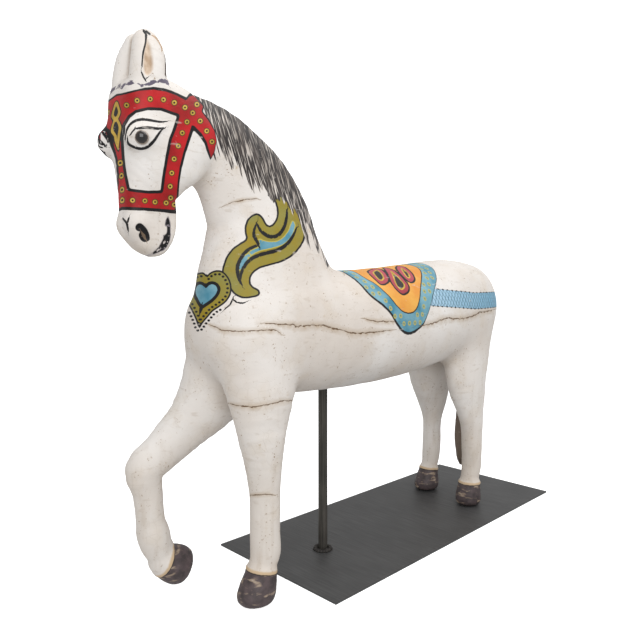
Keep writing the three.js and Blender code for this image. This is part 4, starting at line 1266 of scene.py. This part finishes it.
def weld_tree(material):
    """Geometry Nodes: a ring of overlapping weld beads, each a low dome of its own size."""
    tree = bpy.data.node_groups.new("Weld round the rod", "GeometryNodeTree")
    for name, kind, value in (
        ("Beads", "NodeSocketInt", 17), ("Radius", "NodeSocketFloat", 0.0165),
        ("Smallest bead", "NodeSocketVector", (0.005, 0.0055, 0.0045)),
        ("Largest bead", "NodeSocketVector", (0.0065, 0.0063, 0.0068)),
        ("Foot of the rod", "NodeSocketVector", (0, 0, 0)),
    ):
        tree.interface.new_socket(name, in_out="INPUT", socket_type=kind).default_value = value
    tree.interface.new_socket("Geometry", in_out="OUTPUT", socket_type="NodeSocketGeometry")
    given = add(tree, "NodeGroupInput").node.outputs
    circle = add(tree, "GeometryNodeCurvePrimitiveCircle", {
        "Resolution": 64, "Radius": given["Radius"]})
    points = add(tree, "GeometryNodeCurveToPoints", {
        "Curve": circle, "Count": given["Beads"]}, mode="COUNT")
    dome = add(tree, "GeometryNodeMeshUVSphere", {"Segments": 20, "Rings": 12, "Radius": 1.0})
    split = add(tree, "ShaderNodeSeparateXYZ", {0: add(tree, "GeometryNodeInputPosition")}).node.outputs
    up = add(tree, "ShaderNodeMath", {0: split[2], 1: 0.0}, operation="MAXIMUM")
    low = add(tree, "ShaderNodeCombineXYZ", {0: split[0], 1: split[1], 2: up})
    dome = add(tree, "GeometryNodeSetPosition", {"Geometry": dome, "Position": low})
    size = add(tree, "FunctionNodeRandomValue", {
        0: given["Smallest bead"], 1: given["Largest bead"], "Seed": 4}, data_type="FLOAT_VECTOR")
    angle = add(tree, "ShaderNodeMath", {0: add(tree, "GeometryNodeInputIndex"), 1: given["Beads"]},
                operation="DIVIDE")
    angle = add(tree, "ShaderNodeMath", {0: angle, 1: math.tau}, operation="MULTIPLY")
    turn = add(tree, "FunctionNodeAxisAngleToRotation", {"Axis": (0, 0, 1), "Angle": angle})
    beads = add(tree, "GeometryNodeInstanceOnPoints", {
        "Points": points, "Instance": dome, "Rotation": turn, "Scale": size})
    moved = add(tree, "GeometryNodeTransform", {"Geometry": beads, "Translation": given["Foot of the rod"]})
    real = add(tree, "GeometryNodeRealizeInstances", {"Geometry": moved})
    smooth = add(tree, "GeometryNodeSetShadeSmooth", {"Geometry": real})
    finished = add(tree, "GeometryNodeSetMaterial", {"Geometry": smooth, "Material": material})
    add(tree, "NodeGroupOutput", {"Geometry": finished})
    return tree


# The stage, in metres

FLOOR_RADIUS, BACKDROP_RADIUS = 39.0, 40.0
LIT_PLACE = (-0.2, 0, 0.5)     # the middle of the horse, which the soft lights face
SENSOR_WIDTH = 36


def photo_camera(scene, focal):
    """The camera of the photo, with its place, heading, dip, roll and shift."""
    lens = bpy.data.cameras.new("Camera")
    lens.lens, lens.sensor_width = focal, SENSOR_WIDTH
    lens.shift_x, lens.shift_y = CAMERA_SHIFT
    camera = bpy.data.objects.new("Camera", lens)
    camera.location = CAMERA_PLACE
    camera.rotation_euler = (math.pi / 2 - CAMERA_DIP, CAMERA_ROLL, -CAMERA_HEADING)
    scene.collection.objects.link(camera)
    scene.camera = camera


def white_board(scene, name, shape, glow):
    """A board that glows white for the camera alone, so that it doesn't light the horse."""
    mesh = bpy.data.meshes.new(name)
    shape.to_mesh(mesh)
    shape.free()
    board = bpy.data.objects.new(name, mesh)
    material = new_material(name + " white")
    shader = add(material.node_tree, "ShaderNodeBsdfPrincipled", {
        "Base Color": linear("#F4F4F4"), "Roughness": 0.9, "Emission Color": linear("#FFFFFF"),
        "Emission Strength": glow})
    add(material.node_tree, "ShaderNodeOutputMaterial", {"Surface": shader})
    mesh.materials.append(material)
    board.visible_diffuse = board.visible_glossy = board.visible_shadow = False
    board.visible_transmission = board.visible_volume_scatter = False
    scene.collection.objects.link(board)


def soft_light(scene, name, place, size, power):
    """A broad light that faces the middle of the horse."""
    light = bpy.data.lights.new(name, "AREA")
    light.energy, light.size = power, size
    lamp = bpy.data.objects.new(name, light)
    lamp.location = place
    lamp.rotation_euler = (Vector(LIT_PLACE) - Vector(place)).to_track_quat("-Z", "Y").to_euler()
    scene.collection.objects.link(lamp)


def white_room(scene, strength):
    """Even light from all around."""
    world = bpy.data.worlds.new("White room")
    world.use_nodes = True
    world.node_tree.nodes.clear()
    light = add(world.node_tree, "ShaderNodeBackground", {
        "Color": linear("#FFFFFF"), "Strength": strength})
    add(world.node_tree, "ShaderNodeOutputWorld", {"Surface": light})
    scene.world = world


# The add-on: settings, operators and panel

class HorseSettings(bpy.types.PropertyGroup):
    cell: FloatProperty(name="Cell", description="Size of the carving's lattice cells",
                        default=0.0055, min=0.003, max=0.03, subtype="DISTANCE", unit="LENGTH", precision=4)
    relief: FloatProperty(name="Relief", description="Depth of the nostrils, mouth, ears and eyelids",
                          default=1.0, min=0.0, max=2.0, subtype="FACTOR")
    unevenness: FloatProperty(name="Unevenness", description="How far the hand-carved surface wanders",
                              default=0.0008, min=0.0, max=0.005, subtype="DISTANCE", unit="LENGTH",
                              precision=4)
    rubbing: FloatProperty(name="Rubbing", description="How much of the ornament is rubbed away",
                           default=0.6, min=0.0, max=1.0, subtype="FACTOR")
    white: FloatVectorProperty(name="White", description="Old white paint", size=4, subtype="COLOR",
                               default=linear("#EAE6E2"), min=0.0, max=1.0)
    red: FloatVectorProperty(name="Red", description="Red of the bridle", size=4, subtype="COLOR",
                             default=linear("#C2161C"), min=0.0, max=1.0)
    yellow: FloatVectorProperty(name="Yellow", description="Yellow of the rings", size=4, subtype="COLOR",
                                default=linear("#D8B24A"), min=0.0, max=1.0)
    olive: FloatVectorProperty(name="Olive", description="Olive of the scrolls and heart", size=4,
                               subtype="COLOR", default=linear("#978111"), min=0.0, max=1.0)
    blue: FloatVectorProperty(name="Blue", description="Blue of the cloth and ornament", size=4,
                              subtype="COLOR", default=linear("#46879E"), min=0.0, max=1.0)
    orange: FloatVectorProperty(name="Orange", description="Middle of the saddle cloth", size=4,
                                subtype="COLOR", default=linear("#E9AE50"), min=0.0, max=1.0)
    eye_diameter: FloatProperty(name="Eye diameter", description="Across one glass eye",
                                default=0.022, min=0.005, max=0.04, subtype="DISTANCE", unit="LENGTH")
    eye_dome: FloatProperty(name="Eye dome", description="How far a glass eye stands out",
                            default=0.006, min=0.001, max=0.0095, subtype="DISTANCE", unit="LENGTH")
    eye_sides: IntProperty(name="Eye sides", description="Sides of an eye's round outline",
                           default=48, min=12, max=96)


class StandSettings(bpy.types.PropertyGroup):
    beads: IntProperty(name="Beads", description="Weld beads round the foot of the rod",
                       default=17, min=6, max=40)
    ring_radius: FloatProperty(name="Ring radius",
                               description="From the rod's axis to the middle of the beads",
                               default=0.0162, min=0.01, max=0.03, subtype="DISTANCE", unit="LENGTH")


class StageSettings(bpy.types.PropertyGroup):
    focal: FloatProperty(name="Focal length", description="Of the lens, on a 36 mm sensor",
                         default=34.62, min=20.0, max=120.0, unit="CAMERA")
    overhead: FloatProperty(name="Overhead light", description="Power of the big soft light above",
                            default=28.0, min=0.0, max=1000.0, subtype="POWER", unit="POWER")
    fill: FloatProperty(name="Fill light", description="Power of the soft light from the front left",
                        default=26.0, min=0.0, max=1000.0, subtype="POWER", unit="POWER")
    room: FloatProperty(name="Room", description="Strength of the white room's light", default=0.6,
                        min=0.0, max=3.0)


class CAROUSEL_OT_carve(bpy.types.Operator):
    """Carve the horse and paint it"""
    bl_idname = "carousel.carve"
    bl_label = "Carve and paint the horse"
    bl_options = {"REGISTER", "UNDO"}

    def execute(self, context):
        settings = context.scene.carousel_horse
        horse = bpy.data.objects.new("carved_horse", carve(settings))
        horse.data.materials.append(painted_wood(settings))
        place_piece(horse, "painted_wood", "horse")
        return {"FINISHED"}


class CAROUSEL_OT_eyes(bpy.types.Operator):
    """Set the two glass eyes"""
    bl_idname = "carousel.eyes"
    bl_label = "Set the eyes"
    bl_options = {"REGISTER", "UNDO"}

    def execute(self, context):
        glass = eye_glass()
        for name, node, side in (("glass_eye_left", "eye_left", -1), ("glass_eye_right", "eye_right", 1)):
            eye = bpy.data.objects.new(name, eye_mesh(context.scene.carousel_horse, side))
            eye.data.materials.append(glass)
            place_piece(eye, "eye_glass", node)
        return {"FINISHED"}


class CAROUSEL_OT_stand(bpy.types.Operator):
    """Finish the steel plate and rod, and weld them together"""
    bl_idname = "carousel.stand"
    bl_label = "Finish the stand"
    bl_options = {"REGISTER", "UNDO"}

    def execute(self, context):
        settings = context.scene.carousel_stand
        plate = steel("Blackened steel plate", "#4E4E4E", "#5F5F5F", 0.42, (1, 0.05, 1))
        bar = steel("Blackened steel bar", "#34332F", "#5C5852", 0.34, (1, 1, 0.04))
        weld = steel("Blackened weld metal", "#262423", "#45413E", 0.5, (1, 1, 1))
        for node, material in (("base_plate", plate), ("rod", bar)):
            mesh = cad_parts[node].data
            mesh.materials.clear()
            mesh.materials.append(material)
        low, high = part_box("rod_collar")
        ring = bpy.data.objects.new("weld_ring", bpy.data.meshes.new("weld_ring"))
        context.scene.collection.objects.link(ring)
        nodes = ring.modifiers.new("Weld", "NODES")
        nodes.node_group = weld_tree(weld)
        given = {"Beads": settings.beads, "Radius": settings.ring_radius,
                 "Foot of the rod": ((low.x + high.x) / 2, (low.y + high.y) / 2, low.z)}
        for item in nodes.node_group.interface.items_tree:
            if item.in_out == "INPUT" and item.name in given:
                nodes[item.identifier] = given[item.name]
        ring.update_tag()
        graph = context.evaluated_depsgraph_get()
        mesh = bpy.data.meshes.new_from_object(ring.evaluated_get(graph))
        ring.modifiers.clear()
        ring.data = mesh
        place_piece(ring, "blackened_steel", "rod_collar")
        return {"FINISHED"}


class CAROUSEL_OT_stage(bpy.types.Operator):
    """Set up the camera, the white floor and the soft studio lights"""
    bl_idname = "carousel.stage"
    bl_label = "Set the stage"
    bl_options = {"REGISTER", "UNDO"}

    def execute(self, context):
        scene, settings = context.scene, context.scene.carousel_stage
        photo_camera(scene, settings.focal)
        shape = bmesh.new()
        bmesh.ops.create_circle(shape, cap_ends=True, segments=64, radius=FLOOR_RADIUS)
        white_board(scene, "Floor", shape, 0.8)
        shape = bmesh.new()
        bmesh.ops.create_icosphere(shape, subdivisions=4, radius=BACKDROP_RADIUS)
        bmesh.ops.reverse_faces(shape, faces=shape.faces)
        white_board(scene, "Backdrop", shape, 1.0)
        soft_light(scene, "Overhead", (0.3, -0.6, 2.6), 2.4, settings.overhead)
        soft_light(scene, "Fill", (-1.8, -1.9, 1.4), 1.8, settings.fill)
        white_room(scene, settings.room)
        scene.view_settings.view_transform = "Standard"
        return {"FINISHED"}


class CAROUSEL_PT_panel(bpy.types.Panel):
    """Settings and steps of the carousel horse"""
    bl_idname = "CAROUSEL_PT_panel"
    bl_label = "Carousel horse"
    bl_space_type = "VIEW_3D"
    bl_region_type = "UI"
    bl_category = "Carousel horse"

    def draw(self, context):
        scene = context.scene
        for group, names, steps in (
            (scene.carousel_horse, HorseSettings.__annotations__, ("carousel.carve", "carousel.eyes")),
            (scene.carousel_stand, StandSettings.__annotations__, ("carousel.stand",)),
            (scene.carousel_stage, StageSettings.__annotations__, ("carousel.stage",)),
        ):
            box = self.layout.box()
            for name in names:
                box.prop(group, name)
            for step in steps:
                box.operator(step)


CLASSES = (
    HorseSettings, StandSettings, StageSettings, CAROUSEL_OT_carve, CAROUSEL_OT_eyes, CAROUSEL_OT_stand,
    CAROUSEL_OT_stage, CAROUSEL_PT_panel,
)
GROUPS = {"carousel_horse": HorseSettings, "carousel_stand": StandSettings, "carousel_stage": StageSettings}


def register():
    for cls in CLASSES:
        bpy.utils.register_class(cls)
    for name, group in GROUPS.items():
        setattr(bpy.types.Scene, name, PointerProperty(type=group))


def unregister():
    for name in GROUPS:
        delattr(bpy.types.Scene, name)
    for cls in reversed(CLASSES):
        bpy.utils.unregister_class(cls)


def main():
    register()
    bpy.ops.carousel.stage()
    bpy.ops.carousel.carve()
    bpy.ops.carousel.eyes()
    bpy.ops.carousel.stand()


if __name__ == "__main__":
    main()
